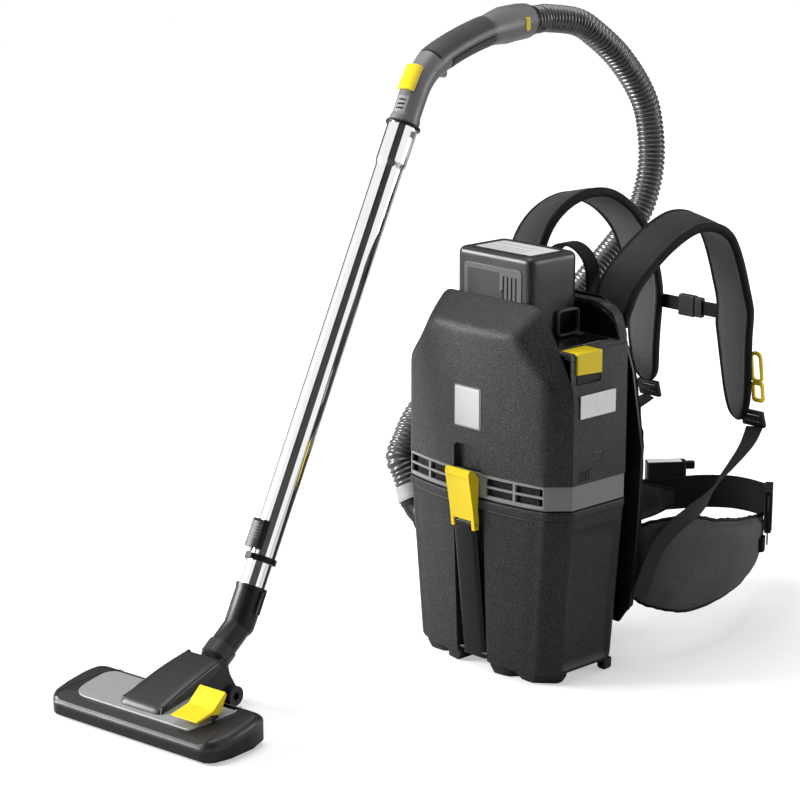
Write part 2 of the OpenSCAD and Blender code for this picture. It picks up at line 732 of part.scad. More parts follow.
module fan_rotor() {
  blade_h = 16;
  fan_r = motor_r - 8;
  color(light) translate([0, motor_y, plate_z]) {
    difference() {
      union() {
        translate([0, 0, 12]) cylinder(r = fan_r, h = 2.5);
        translate([0, 0, 12]) cylinder(r = 12, h = blade_h + 8);
        for (i = [0:fan_blades - 1]) rotate(360 * i / fan_blades) translate([14, 0, 14])
          rotate([0, 0, 28]) difference() {
            translate([12, -26, 0]) cylinder(r = 31, h = blade_h);
            translate([12, -26, -1]) cylinder(r = 29.2, h = blade_h + 2);
            translate([-40, -90, -1]) cube([120, 90 - 8, blade_h + 2]);
            translate([-60, -60, -1]) cube([55, 120, blade_h + 2]);
          }
      }
      translate([0, 0, 10]) difference() {
        cylinder(r = fan_r + 40, h = 40);
        translate([0, 0, -1]) cylinder(r = fan_r, h = 50);
      }
    }
    translate([0, 0, 30]) cylinder(r = 4, h = motor_top - plate_z - 30 - 20);
    translate([0, 0, 58]) cylinder(r = 20, h = 34);
  }
}

module control_board() {
  color([0.1, 0.4, 0.2]) difference() {
    translate([68, -34, plate_z + 8]) cube([54, 90, 1.6]);
    for (p = [[74, -26], [116, -26], [74, 48], [116, 48]]) translate([p.x, p.y, plate_z])
      cylinder(r = 1.2, h = 20);
  }
  color(black) for (y = [-14, 6]) translate([82, y, plate_z + 9.6]) cube([22, 12, 4]);
  color(copper) for (i = [0:2]) translate([80 + 14 * i, 36, plate_z + 9.6]) cylinder(r = 5, h = 14);
}

terminal = [50, 16, 9];
terminal_y = 20;
module battery_terminals() {
  color(black) translate([-terminal.x / 2, terminal_y - terminal.y / 2, bay_z]) cube(terminal);
  color(steel) for (i = [-1:1]) translate([14 * i - 1, terminal_y - 5, bay_z + terminal.z])
    cube([2, 10, 7]);
}

module status_lens() {
  color([0.1, 0.1, 0.12]) difference() {
    translate([half_w - shell_t - 1, lens_y - 7.5 + 0.2, lens_z - 6.3]) cube([shell_t + 0.8, 14.6, 12.6]);
    translate([half_w - shell_t - 2, lens_y - 5, lens_z - 4]) cube([shell_t, 10, 8]);
  }
}

module housing_screws() {
  color(steel) both_sides() for (y = boss_ys) translate([boss_x, y, head_z]) {
    cylinder(r = 3.8, h = 2.2);
    cylinder(r = 2, h = 50);
  }
}

// ---------- battery ----------
module battery_case() {
  panel_w = battery_w - 30;
  z0 = bay_z + seat;
  color(dark) difference() {
    union() {
      translate([0, 0, z0]) linear_extrude(battery_h - 6) rounded(battery_w, battery_d, 10);
      hull() {
        translate([0, 0, z0 + battery_h - 7]) linear_extrude(1)
          rounded(battery_w, battery_d, 10, $fn = hull_fn);
        translate([0, 0, z0 + battery_h - 1]) linear_extrude(1)
          rounded(battery_w - 10, battery_d - 10, 8, $fn = hull_fn);
      }
      translate([-panel_w / 2, -battery_d / 2 - 1, z0 + 26]) cube([panel_w, 4, battery_h - 44]);
    }
    translate([-terminal.x / 2 - 1, terminal_y - terminal.y / 2 - 1, z0 - 1])
      cube([terminal.x + 2, terminal.y + 2, terminal.z + 10]);
    for (side = [-1, 1]) translate([side * (battery_w / 2 + 0.6), 0, z0 + 40 + (battery_h - 60) / 2])
      cube([3.2, battery_d - 34, battery_h - 60], center = true);
    translate([0, 0, z0 + battery_h - 1.2]) linear_extrude(5) rounded(battery_w - 30, battery_d - 34, 6);
    for (i = [0:3]) translate([-panel_w / 2 + 6, -battery_d / 2 - 2, z0 + battery_h - 34 + 4 * i])
      cube([panel_w - 12, 2.4, 1.6]);
  }
}

module battery_button() {
  t = 3.5;
  y0 = button_y[0];
  h = button_y[1] - y0;
  color(yellow) {
    translate([half_w - t, y0, button_z]) cube([t, h, deck_z - button_z]);
    translate([button_x, y0, deck_z - t]) cube([half_w - button_x, h, t]);
    translate([half_w - t, -17, deck_z - 20]) x_rod(4, -12, 1);
  }
}

// ---------- harness ----------

// Half width of the back plate and pad by height
pad_edge = [[59, 125], [86, 144], [197, 154], [301, 158], [404, 139], [471, 115], [482, 106], [494, 82]];
function edge_at(z) = lookup(z, pad_edge);

module back_plate() {
  inset = 4;
  zs = [for (p = pad_edge) p[0]];
  outline = concat([for (z = zs) [edge_at(z) - inset, z]],
    [for (i = [len(zs) - 1:-1:0]) [inset - edge_at(zs[i]), zs[i]]]);
  color(black) difference() {
    upright(plate_y, plate_y + plate_t) polygon(outline);
    for (z = [150, 350]) both_sides() translate([70, 0, z]) rotate([-90, 0, 0])
      linear_extrude(200) rounded(44, 70, 10);
  }
}

// Thickness factor of the pad by height: its channels and its thin top
pad_rows = [[62, 0.3], [70, 0.75], [100, 1], [150, 1], [166, 0.98], [174, 0.62], [182, 0.98],
  [230, 1], [284, 0.98], [292, 0.62], [300, 0.98], [350, 1], [412, 0.96], [424, 0.7], [434, 0.4],
  [480, 0.4], [488, 0.4], [492, 0.25]];
pad_cols = 12;
function pad_ring(z, f) = let (w = edge_at(z) - (f < 0.35 ? 6 : 0)) concat(
  [[-w, pad_y, z], [w, pad_y, z]],
  [for (i = [0:pad_cols]) let (q = cos(180 * i / pad_cols), x = w * q,
      dip = z < 440 && abs(x) < 16 ? 0.55 : 1)
    [x, pad_y + 2.5 + (pad_t * f - 2.5) * (1 - pow(abs(q), 4)) * dip, z]]);
module back_pad() {
  color(black) skin([for (r = pad_rows) pad_ring(r[0], r[1])]);
}

// Centre line of a shoulder strap, hand-placed: over the shoulder and down the chest
left_route = [[95.2, 452], [95.2, 478], [99.5, 505], [106, 532], [122, 558], [150, 579], [190, 591],
  [235, 588], [276, 567], [312, 531], [334, 482], [345, 442], [345, 412], [346, 370], [350, 335],
  [358, 306]];
right_route = [[95.2, 452], [95.2, 472], [102, 493], [118, 513], [146, 534], [184, 556], [228, 571],
  [268, 568], [299, 550], [320, 514], [335, 474], [345, 442], [345, 412], [350, 368], [356, 322],
  [361.5, 278]];
strap_roll = 12;
module shoulder_strap(side, route) {
  path = smooth([for (p = route) [side * strap_x, p[0], p[1]]], 2);
  n = len(path) - 1;
  ref = [cos(strap_roll), 0, -side * sin(strap_roll)];
  color(cloth) skin([for (i = [0:n]) place(
    strap_section(strap_w * (i < 3 ? 0.8 + 0.07 * i : i > n - 6 ? 0.62 + 0.063 * (n - i) : 1),
      strap_t * (i == 0 || i == n ? 0.5 : 1)), path[i], heading(path, i), ref)]);
}
module left_shoulder_strap() {
  shoulder_strap(-1, left_route);
}
module right_shoulder_strap() {
  shoulder_strap(1, right_route);
}

module haul_loop() {
  r = 40;
  y = pad_y + 9.6 + seat + 12;
  path = concat([[-r, y, 482], [-r, y, 505]],
    [for (a = [180:-20:0]) [r * cos(a), y, 508 + r * sin(a)]], [[r, y, 505], [r, y, 482]]);
  color(cloth) ribbon(path, 24, 4, [0, 1, 0]);
}

left_lock = [83, 361.4, 295];
right_lock = [99, 372.3, 282];
lock_tilt = 17;
// Path of a lower webbing: from its lock over the outside of the wing to the pad's lower corner
function webbing_path(lock) = smooth([lock + [1, 2.6, -14], lock + [18, -38, -33], [150, 240, 226],
  [169, 190, 214], [176, 152, 205], [172, 123, 191], [163, 101.5, 166], [155.5, 90, 130],
  [149.5, 83.5, 100]], 6);
module twisted_ribbon(path, w, t, first, last) {
  n = len(path) - 1;
  skin([for (i = [0:n]) place(flat_section(w, t), path[i], heading(path, i),
    first + (last - first) * min(1, 2 * i / n))]);
}
module strap_webbing() {
  color(cloth) {
    mirror([1, 0, 0]) twisted_ribbon(webbing_path(left_lock), 25, 2, [1, 0.25, 0], [0, -0.5, 0.88]);
    twisted_ribbon(webbing_path(right_lock), 25, 2, [1, 0.25, 0], [0, -0.5, 0.88]);
  }
}

module ladder_lock(p) {
  translate(p) rotate([lock_tilt, 0, 0]) difference() {
    translate([-19, -3, -13]) cube([38, 6, 24]);
    for (z = [-8, 2]) translate([-14, -10, z]) cube([28, 20, 3.5]);
  }
}
module ladder_locks() {
  color(black) {
    mirror([1, 0, 0]) ladder_lock(left_lock);
    ladder_lock(right_lock);
  }
}

module strap_hook() {
  color(yellow) translate([strap_x + strap_w / 2 - 1, 364.4, 322]) rotate([8, 0, 0]) {
    difference() {
      rotate([90, 0, 0]) linear_extrude(4, center = true) rounded(20, 30, 5);
      rotate([90, 0, 0]) linear_extrude(8, center = true) rounded(12, 20, 3);
    }
    translate([0, 0, 36]) rotate([90, 0, 0]) difference() {
      linear_extrude(4, center = true) rounded(20, 46, 9);
      linear_extrude(8, center = true) rounded(12, 36, 5);
    }
  }
}

chest_z = 427;
chest_y = 354;
module sternum_strap() {
  color(cloth) translate([-72, chest_y - 1, chest_z - 10]) cube([49, 2, 20]);
}
module sternum_socket() {
  color(black) difference() {
    translate([-23, chest_y - 5, chest_z - 15]) cube([28, 10, 30]);
    translate([-12, chest_y - 3, chest_z - 11]) cube([20, 6, 22]);
  }
}
module sternum_clip() {
  color(black) {
    translate([5 + seat, chest_y - 4, chest_z - 14]) cube([13, 8, 28]);
    both_sides_z(chest_z) translate([-9, chest_y - 2, chest_z + 4]) cube([16, 4, 5]);
  }
  color(cloth) translate([18, chest_y - 1, chest_z - 10]) cube([54, 2, 20]);
}
module both_sides_z(z) {
  children();
  translate([0, 0, 2 * z]) mirror([0, 0, 1]) children();
}

// Middle line of a hip wing, hand-placed: x, y, lower edge, upper edge, thickness
wing_route = [[124, 95.9, 86, 188, 7], [148, 109, 76, 200, 12], [164, 140, 64, 203, 14],
  [169, 178, 60, 197, 14], [165, 225, 60, 184, 14], [151, 280, 60, 170, 14], [131, 335, 68, 157, 13],
  [101, 393, 88, 140, 11], [80, 424, 106, 130, 6]];
module hip_wing(side) {
  xy = smooth([for (p = wing_route) [side * p.x, p.y, 0]], 2);
  lo_hi = smooth([for (p = wing_route) [p[2], p[3], p[4]]], 2);
  rings = [for (i = [0:len(xy) - 1])
    let (h = lo_hi[i], mid = [xy[i].x, xy[i].y, (h[0] + h[1]) / 2])
      place(strap_section(h[1] - h[0], h[2]), mid, heading(xy, i), [0, 0, 1])];
  color(black) skin(rings);
}
module left_hip_wing() {
  hip_wing(-1);
}
module right_hip_wing() {
  hip_wing(1);
}

// Front of the hip belt: the buckle and its two webbings
buckle_p = [66.2, 456.2, 126];
belt_dir = unit([23, -29.6, 0]);
module along_belt() {
  translate(buckle_p) rotate([0, 0, atan2(belt_dir.y, belt_dir.x)]) children();
}
module hip_webbing() {
  path = [[-113.5, 384.5, 120], [-107, 397, 120], [-84, 427, 122], [-63, 453, 124], [-42, 471, 125],
    [-20, 482, 126], [4, 487, 126], [26, 486, 126], buckle_p - 34 * belt_dir,
    buckle_p - (26 + seat) * belt_dir];
  color(cloth) ribbon(smooth(path, 3), webbing_w, 2, [0, 0, 1]);
}
module hip_socket() {
  color(black) {
    along_belt() difference() {
      translate([-26, -6, -32]) cube([34, 12, 64]);
      translate([-8, -4, -26]) cube([20, 8, 52]);
    }
  }
}
module hip_clip() {
  color(black) along_belt() {
    translate([8 + seat, -5, -31]) cube([16, 10, 62]);
    both_sides_z(0) translate([-6, -3, 12]) cube([16, 6, 10]);
  }
  color(cloth) along_belt() translate([24, -1, -webbing_w / 2]) cube([74, 2, webbing_w]);
}

// ---------- control unit on the left hip wing ----------
unit_p = [-93.2, 418.1, 132];
unit_turn = 52.5;
module on_unit() {
  translate(unit_p) rotate([0, 0, unit_turn]) children();
}
key_r = 9;
key_travel = 2;
module control_case() {
  color(dark) on_unit() difference() {
    union() {
      translate([0, 11, -34]) linear_extrude(70) rounded(60, 22, 6);
      translate([36, 11, 24]) linear_extrude(10) rounded(14, 12, 3);
    }
    for (z = [-14, 14]) translate([0, 30, z]) rotate([90, 0, 0]) cylinder(r = key_r + 0.3, h = 14);
  }
}
module key(z) {
  on_unit() translate([0, 0, z]) rotate([-90, 0, 0]) {
    translate([0, 0, 19]) cylinder(r = key_r, h = 5);
  }
}
module power_key() {
  color(yellow) key(14);
}
module eco_key() {
  color([0.2, 0.6, 0.3]) key(-14);
}

// ---------- handle ----------
spigot2_l = 48;
socket_d = tube_d + 4;
// Radius along the handle from the collar
neck_r = 19;
grip_from = 97;
rest_d = 112;
low_from = rest_d + 6.5;
grip_to = 223;
handle_r = [[0, 20.6], [8, 20.6], [14, neck_r], [60, neck_r + 0.4], [84, 19.8], [grip_from, 0.5 * grip_d],
  [grip_to, 0.5 * grip_d], [235, 22.4], [262, 26], [300, 25.4], [handle_l, 24.6]];
bell_l = 16;
handle_marks = [0, 8, 14, 43, 54, 65, 76, 87, 96.9, 97.1, 107, 118.4, 118.6, 135, 155, 175, 195, 210, 222.9,
  223.1, 235, 248, 262, 280, handle_l - bell_l - 0.1, handle_l - bell_l, handle_l];
insert_t = 2;
handle_sides = 30;
// The grip is cut back above and below its side spines, where the inserts lie
function cut_back(a, d) = d > grip_from && d < grip_to
  && (sin(a) < -0.27 || (sin(a) > 0.13 && d > low_from)) ? insert_t : 0;
function handle_ring(d, r, cut) = place(
  [for (i = [0:handle_sides - 1]) let (a = 360 * i / handle_sides)
    (r - (cut ? cut_back(a, d) : 0)) * [cos(a), sin(a)]],
  grip_point(d), [0, cos(grip_tilt(d)), sin(grip_tilt(d))], [1, 0, 0]);
// Frame at distance d along the handle: z along it, -y on its upper side
module on_handle(d) {
  translate(grip_point(d)) rotate([grip_tilt(d) - 90, 0, 0]) children();
}
bell_bore = 18 + 0.4;
window_d = 23;
button_d = 288;

// Stop for the fingers under the grip
module knuckle_rest() {
  on_handle(rest_d) translate([0, grip_d / 2, 0]) rotate([0, 90, 0]) cylinder(r = 6, h = 14, center = true);
}

module wand_handle() {
  color(grey) tool_frame() {
    difference() {
      union() {
        pipe([for (d = handle_marks) handle_ring(d, lookup(d, handle_r), true)],
          [for (d = handle_marks) handle_ring(d, d > handle_l - bell_l - 0.05 ? bell_bore : 15, false)]);
        knuckle_rest();
      }
      on_handle(rest_d) cylinder(r = 15.5, h = 24, center = true);
      on_handle(window_d) translate([-9.5, -30, -12]) cube([19, 20, 24]);
      on_handle(button_d) translate([10, 0, 0]) rotate([0, 90, 0])
        linear_extrude(30) rounded(9.9, 18.4, 2.2);
    }
    difference() {
      on_handle(0) translate([0, 0, -spigot2_l]) cylinder(r = socket_d / 2 - 1.5 - fit, h = spigot2_l);
      on_handle(0) translate([0, 0, -spigot2_l - 1]) cylinder(r = 16.5, h = spigot2_l + 2);
    }
    on_handle(0) translate([socket_d / 2 - 3, -4, -17]) cube([2.6, 8, 9]);
  }
}

// Band of an insert between angles a0 and a1, as a closed strip along the grip
function insert_ring(d, a0, a1, r0, r1) = let (n = 8) place(concat(
    [for (i = [0:n]) let (a = a0 + (a1 - a0) * i / n) r1 * [cos(a), sin(a)]],
    [for (i = [n:-1:0]) let (a = a0 + (a1 - a0) * i / n) r0 * [cos(a), sin(a)]]),
  grip_point(d), [0, cos(grip_tilt(d)), sin(grip_tilt(d))], [1, 0, 0]);
module handle_inserts() {
  r = grip_d / 2;
  upper = [100, 107, 118.5, 135, 155, 175, 195, 210, 220];
  lower = [122, 135, 155, 175, 195, 210, 220];
  tool_frame() {
    color(black) {
      band([for (d = upper) insert_ring(d, 205, 335, r - insert_t + 0.45, r + 0.4)]);
      band([for (d = lower) insert_ring(d, 13, 167, r - insert_t + 0.55, r + 0.4)]);
    }
    color(light) on_handle(window_d) difference() {
      intersection() {
        translate([0, 0, -11.7]) cylinder(r = neck_r + 0.3, h = 23.4);
        translate([-9.2, -30, -12]) cube([18.4, 20, 24]);
      }
      translate([0, 0, -13]) cylinder(r = neck_r - 3, h = 26);
      for (z = [-6, 0, 6]) translate([-6, -30, z - 1.2]) cube([12, 20, 2.4]);
    }
  }
}

slider_d = 52;
slider_l = 36;
module bypass_slider() {
  z0 = 41 - slider_d;
  color(yellow) tool_frame() on_handle(slider_d) difference() {
    intersection() {
      translate([0, 0, z0]) cylinder(r = 24, h = slider_l);
      translate([-12.5, -40, z0]) cube([25, 30, slider_l]);
    }
    translate([0, 0, z0 - 1]) cylinder(r = neck_r + 0.9, h = slider_l + 2);
    for (i = [1:4]) translate([-14, -25.2, z0 + 6 * i]) cube([28, 2, 2]);
  }
}

module hose_button() {
  color(yellow) tool_frame() on_handle(button_d) translate([20, 0, 0]) rotate([0, 90, 0])
    linear_extrude(6.5) rounded(9.5, 18, 2);
}

// ---------- tubes ----------
tube_bore = inner_d / 2 + fit;
module outer_tube() {
  socket_s = collar_s - socket_l;
  color(steel) on_wand(0) difference() {
    union() {
      translate([0, 0, ring_s]) cylinder(r = tube_d / 2, h = tube_l - 0.1);
      translate([0, 0, socket_s - 5]) cylinder(r1 = tube_d / 2, r2 = socket_d / 2, h = 5.01);
      translate([0, 0, socket_s]) cylinder(r = socket_d / 2, h = socket_l - 0.1);
    }
    translate([0, 0, ring_s - 1]) cylinder(r = tube_bore, h = tube_l + 2);
    translate([0, 0, collar_s - spigot2_l - 2]) cylinder(r = socket_d / 2 - 1.5, h = spigot2_l + 4);
    translate([socket_d / 2 - 3, -4.5, collar_s - 17.5]) cube([10, 9, 10]);
  }
}

rod_y = -(tube_d / 2 + 4.4);
module tube_ring() {
  color(black) on_wand(ring_s - 4) difference() {
    union() {
      cylinder(r = tube_d / 2 + 2.2, h = 8);
      translate([-4, rod_y - 2.8, 0]) cube([8, 10, 8]);
    }
    translate([0, 0, -1]) cylinder(r = tube_bore, h = 20);
    translate([0, 0, 3.9]) cylinder(r = tube_d / 2 + fit, h = 20);
    translate([0, rod_y, -1]) cylinder(r = 1.5 + fit, h = 20);
  }
}

module tube_release() {
  l = 38;
  color(dark) on_wand(ring_s + 10) difference() {
    union() {
      intersection() {
        cylinder(r = tube_d / 2 + 11, h = l);
        translate([-10, -40, 0]) cube([20, 26, l]);
      }
      translate([0, rod_y, -13]) cylinder(r = 1.5, h = 15);
    }
    translate([0, 0, -1]) cylinder(r = tube_d / 2 + seat / 2, h = l + 2);
    for (z = [12:4:28]) translate([-20, -tube_d / 2 - 12, z]) cube([40, 2.4, 1.8]);
    translate([-20, -tube_d / 2 - 13, l - 6]) rotate([45, 0, 0]) cube([40, 9, 12]);
  }
}

inner_in = 40;
module inner_tube() {
  l = ring_s + tube_l - spigot2_l - 12 + inner_in;
  color(steel) on_wand(-inner_in) difference() {
    cylinder(r = inner_d / 2, h = l);
    translate([0, 0, -1]) cylinder(r = inner_d / 2 - inner_wall, h = l + 2);
    for (s = [90:30:l - 60]) translate([0, -inner_d / 2, s]) rotate([90, 0, 0])
      cylinder(r = 2.2, h = 6, center = true);
  }
}

// ---------- neck ----------
elbow_l = 50;
leg_angle = 35;
leg_r = 18;
leg_l = 40;
collar_l = 15;
elbow_p = wand_point(-elbow_l);
module on_leg(s) {
  tool_frame() translate(elbow_p - s * [0, cos(leg_angle), sin(leg_angle)])
    rotate([leg_angle - 90, 0, 0]) children();
}
module neck_elbow() {
  color(black) difference() {
    union() {
      on_wand(-elbow_l) cylinder(r = inner_d / 2 + 2.4, h = elbow_l);
      on_wand(-5) cylinder(r = inner_d / 2 + 3.4, h = 5);
      on_wand(-elbow_l) sphere(r = inner_d / 2 + 2.4);
      on_leg(leg_l) cylinder(r = leg_r, h = leg_l);
      on_leg(leg_l + collar_l - 1) cylinder(r = leg_r - 2, h = collar_l);
      on_wand(-34) translate([inner_d / 2 + 1, -3, 0]) cube([6, 6, 30]);
    }
    on_wand(-elbow_l) cylinder(r = 15, h = elbow_l + 1);
    on_wand(-inner_in - 1) cylinder(r = inner_d / 2 + fit, h = inner_in + 2);
    on_wand(-elbow_l) sphere(r = 15);
    on_leg(leg_l + collar_l + 5) cylinder(r = leg_r - 4.5, h = leg_l + collar_l + 5);
  }
}

barrel_r = barrel_d / 2;
barrel_p = [0, 158, 19];
barrel_l = 76;
module barrel_rod(r, l) {
  tool_frame() translate(barrel_p) x_rod(r, -l / 2, l / 2);
}
module neck_knuckle() {
  color(dark) difference() {
    union() {
      barrel_rod(barrel_r, barrel_l);
      hull() {
        barrel_rod(barrel_r - 1.5, 44, $fn = hull_fn);
        on_leg(leg_l + collar_l + 4) cylinder(r = leg_r + 1.5, h = 2, $fn = hull_fn);
      }
      on_leg(leg_l + collar_l + 3) cylinder(r = leg_r + 2, h = collar_l + 3 - seat);
    }
    on_leg(leg_l + collar_l - 1 + seat) cylinder(r = leg_r - 2 + fit, h = collar_l + 2);
    on_leg(leg_l + collar_l + 3) cylinder(r = leg_r - 5, h = 12);
    tool_frame() translate(barrel_p) cylinder(r = 9, h = 44);
    barrel_rod(5, barrel_l + 2);
  }
}

// ---------- floor tool ----------
tool_hw = tool_w / 2;
shell_profile = [[0, 5], [0, 20], [3, 26], [10, 30], [tool_d - 14, 41], [tool_d - 5, 40],
  [tool_d, 34], [tool_d, 5]];
function top_at(y) = lookup(y, [[0, 20], [3, 26], [10, 30], [tool_d - 14, 41], [tool_d - 5, 40]]);
function shell_plan(g) = [[-tool_hw + 20, g - 1], [tool_hw - 20, g - 1], [tool_hw - 6 - g, 10 + g / 2],
  [tool_hw - g, 34], [tool_hw - g, tool_d - 26], [tool_hw - 8 - g, tool_d + 1 - g],
  [8 - tool_hw + g, tool_d + 1 - g], [g - tool_hw, tool_d - 26], [g - tool_hw, 34],
  [6 - tool_hw + g, 10 + g / 2]];
housing_hw = 34;

module head_shell() {
  t = 2.8;
  color(dark) tool_frame() {
    difference() {
      intersection() {
        across(tool_w) polygon(shell_profile);
        linear_extrude(60) polygon(shell_plan(0));
      }
      intersection() {
        across(tool_w) polygon([[t, 0], [t, 19], [5, 24], [11, 30 - t], [tool_d - 14, 41 - t],
          [tool_d - 6, 40 - t], [tool_d - t, 33], [tool_d - t, 0]]);
        linear_extrude(60) polygon(shell_plan(t));
      }
      translate([-16, 50, 20]) cube([32, 36, 40]);
      translate([81, 81, 30]) cube([26, 9, 20]);
    }
    for (x = [64, 100]) pedal_ear(x);
  }
}

pedal_p = [0, 50, 44];
module pedal_ear(x) {
  difference() {
    union() {
      translate([x, pedal_p.y - 5, top_at(pedal_p.y) - 1]) cube([3, 10, pedal_p.z - top_at(pedal_p.y) + 1]);
      translate([0, pedal_p.y, pedal_p.z]) x_rod(3.8, x, x + 3);
    }
    translate([0, pedal_p.y, pedal_p.z]) x_rod(2 + fit, x - 1, x + 4);
  }
}

module head_trim() {
  t = 1.5;
  y0 = 15;
  y1 = tool_d - 15;
  color(steel) tool_frame() difference() {
    intersection() {
      across(tool_w) polygon([[y0, top_at(y0)], [y1, top_at(y1)], [y1, top_at(y1) + t],
        [y0, top_at(y0) + t]]);
      linear_extrude(60) polygon([[-95, 0], [95, 0], [95, y0], [112, y1], [112, 120], [-112, 120],
        [-112, y1], [-95, y0]]);
    }
    translate([-housing_hw - 0.5 - seat, 24 - seat, 20]) cube([2 * (housing_hw + 0.5 + seat), 200, 60]);
    translate([62, pedal_p.y - 7, 20]) cube([44, 14, 60]);
    translate([80, 80, 20]) cube([28, 11, 60]);
  }
}

module housing_wedge(g) {
  hull() for (side = [-1, 1]) {
    translate([side * (housing_hw - g) - 0.5, 25 + g, 24]) cube([1, 1, 8]);
    translate([side * (housing_hw - g) - 0.5, 29 + g, 40 - g]) cube([1, 1, 1]);
    translate([side * (29 - g) - 0.5, 142 + 4 * g, 70 - g]) cube([1, 1, 1]);
    translate([side * (30 - g) - 0.5, 165 + 4 * g, 28]) cube([1, 1, 1]);
    translate([side * (30 - g) - 0.5, 165 + 4 * g, 4 - 2 * g]) cube([1, 1, 1]);
    translate([side * (housing_hw - g) - 0.5, 100, 4 - 2 * g]) cube([1, 1, 1]);
  }
}
module joint_housing() {
  t = 3;
  color(dark) {
    difference() {
      tool_frame() housing_wedge(0);
      tool_frame() difference() {
        housing_wedge(t);
        translate([-50, 0, 0]) cube([100, 40, 100]);
      }
      tool_frame() across(tool_w) polygon([[-20, 0], [-20, 20], [3 - 0.1, 26.2], [10, 30.1],
        [tool_d - 14, 41.1], [tool_d - 4.8, 40.2], [tool_d + 0.2, 34.2], [tool_d + 0.2, -10], [-20, -10]]);
      tool_frame() translate([-26, 136, 0]) cube([52, 60, 90]);
      barrel_rod(barrel_r + fit, barrel_l + 4);
    }
  }
}

module head_sole() {
  color(black) tool_frame() difference() {
    union() {
      intersection() {
        translate([-tool_hw, 3 + seat, 2]) cube([tool_w, tool_d - 6 - 2 * seat, 6]);
        linear_extrude(20) polygon(shell_plan(3.4));
      }
      for (y = [19, tool_d - 23]) translate([12 - tool_hw, y, 0]) cube([tool_w - 24, 4, 3]);
    }
    translate([-tool_hw + 26, 30, -1]) cube([tool_w - 52, tool_d - 60, 20]);
    for (y = [8, tool_d - 13]) translate([-tool_hw + 15, y - 0.2, -1]) cube([tool_w - 30, 5.4, 20]);
  }
}

module bristle_strips() {
  color(black) tool_frame() for (y = [8, tool_d - 13])
    translate([-tool_hw + 15.2, y, 1]) cube([tool_w - 30.4, 5, 14]);
}

module pedal() {
  color(yellow) tool_frame() translate(pedal_p) difference() {
    union() {
      translate([83.5, 0, 0]) across(43) polygon([[-35, 1], [-34, -1], [-6, 3], [4, 6], [19, 20],
        [17, 24], [2, 11], [-8, 7]]);
      translate([83.5, 0, 0]) across(32) polygon([[-4, -3], [4, -3], [4, 7], [-6, 5]]);
      x_rod(2, 64, 103);
    }
    for (y = [-30:5:-12]) translate([64, y, 6]) rotate([45, 0, 0]) cube([38, 2, 2]);
  }
}

dust_container();
container_seal();
filter_basket();
filter_bag();
inlet_elbow();
suction_hose();
hose_cuff();
swivel_cuff();
closure_strap();
front_latch();
latch_pin();
head_base();
vent_band();
main_housing();
front_cover();
motor_casing();
motor_stator();
motor_bearings();
fan_rotor();
control_board();
battery_terminals();
status_lens();
housing_screws();
battery_case();
battery_button();
back_plate();
back_pad();
left_shoulder_strap();
right_shoulder_strap();
haul_loop();
strap_webbing();
ladder_locks();
strap_hook();
sternum_strap();
sternum_socket();
sternum_clip();
left_hip_wing();
right_hip_wing();
hip_webbing();
hip_socket();
hip_clip();
control_case();
power_key();
eco_key();
wand_handle();
handle_inserts();
bypass_slider();
hose_button();
outer_tube();
tube_ring();
tube_release();
inner_tube();
neck_elbow();
neck_knuckle();
joint_housing();
head_shell();
head_trim();
head_sole();
bristle_strips();
pedal();
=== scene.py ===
import json
import math

import bmesh
import bpy
from mathutils import Matrix, Vector, noise

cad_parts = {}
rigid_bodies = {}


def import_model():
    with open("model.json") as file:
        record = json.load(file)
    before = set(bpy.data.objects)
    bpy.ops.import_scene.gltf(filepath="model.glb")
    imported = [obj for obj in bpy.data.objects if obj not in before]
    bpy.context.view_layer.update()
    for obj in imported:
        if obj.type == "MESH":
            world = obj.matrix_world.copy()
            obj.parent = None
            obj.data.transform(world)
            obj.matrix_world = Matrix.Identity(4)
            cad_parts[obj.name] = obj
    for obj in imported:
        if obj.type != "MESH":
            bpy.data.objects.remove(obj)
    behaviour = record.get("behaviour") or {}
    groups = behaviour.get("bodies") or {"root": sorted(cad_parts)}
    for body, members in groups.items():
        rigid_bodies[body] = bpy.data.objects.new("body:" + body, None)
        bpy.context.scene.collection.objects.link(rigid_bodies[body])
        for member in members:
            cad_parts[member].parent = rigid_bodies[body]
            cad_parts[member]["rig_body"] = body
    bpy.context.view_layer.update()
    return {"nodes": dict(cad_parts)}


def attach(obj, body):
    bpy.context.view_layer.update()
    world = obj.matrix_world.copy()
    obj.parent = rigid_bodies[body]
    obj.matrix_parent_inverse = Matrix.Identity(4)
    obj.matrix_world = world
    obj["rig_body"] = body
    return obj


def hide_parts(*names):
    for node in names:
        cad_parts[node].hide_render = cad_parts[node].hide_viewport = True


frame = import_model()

MM = 0.001
scene = bpy.context.scene


# ---------- small helpers ----------

def vec(x, y, z):
    """A point given in millimetres."""
    return Vector((x, y, z)) * MM


def clamp(value, low=0.0, high=1.0):
    return max(low, min(high, value))


def ease(value):
    value = clamp(value)
    return value * value * (3 - 2 * value)


def lookup(x, table):
    """Straight-line value of a table [(x, y), ...] at x."""
    if x <= table[0][0]:
        return table[0][1]
    for (x0, y0), (x1, y1) in zip(table, table[1:]):
        if x <= x1:
            return y0 + (y1 - y0) * (x - x0) / (x1 - x0)
    return table[-1][1]


def smooth(points, steps):
    """Smooth curve through given points, with steps pieces between two of them."""
    points = [Vector(p) for p in points]
    last = len(points) - 1
    result = []
    for i in range(last):
        a, b, c, d = (points[max(i - 1, 0)], points[i], points[i + 1], points[min(i + 2, last)])
        for k in range(steps):
            t = k / steps
            result.append(0.5 * (2 * b + (c - a) * t + (2 * a - 5 * b + 4 * c - d) * t * t
                                 + (3 * b - a - 3 * c + d) * t * t * t))
    return result + [points[last]]


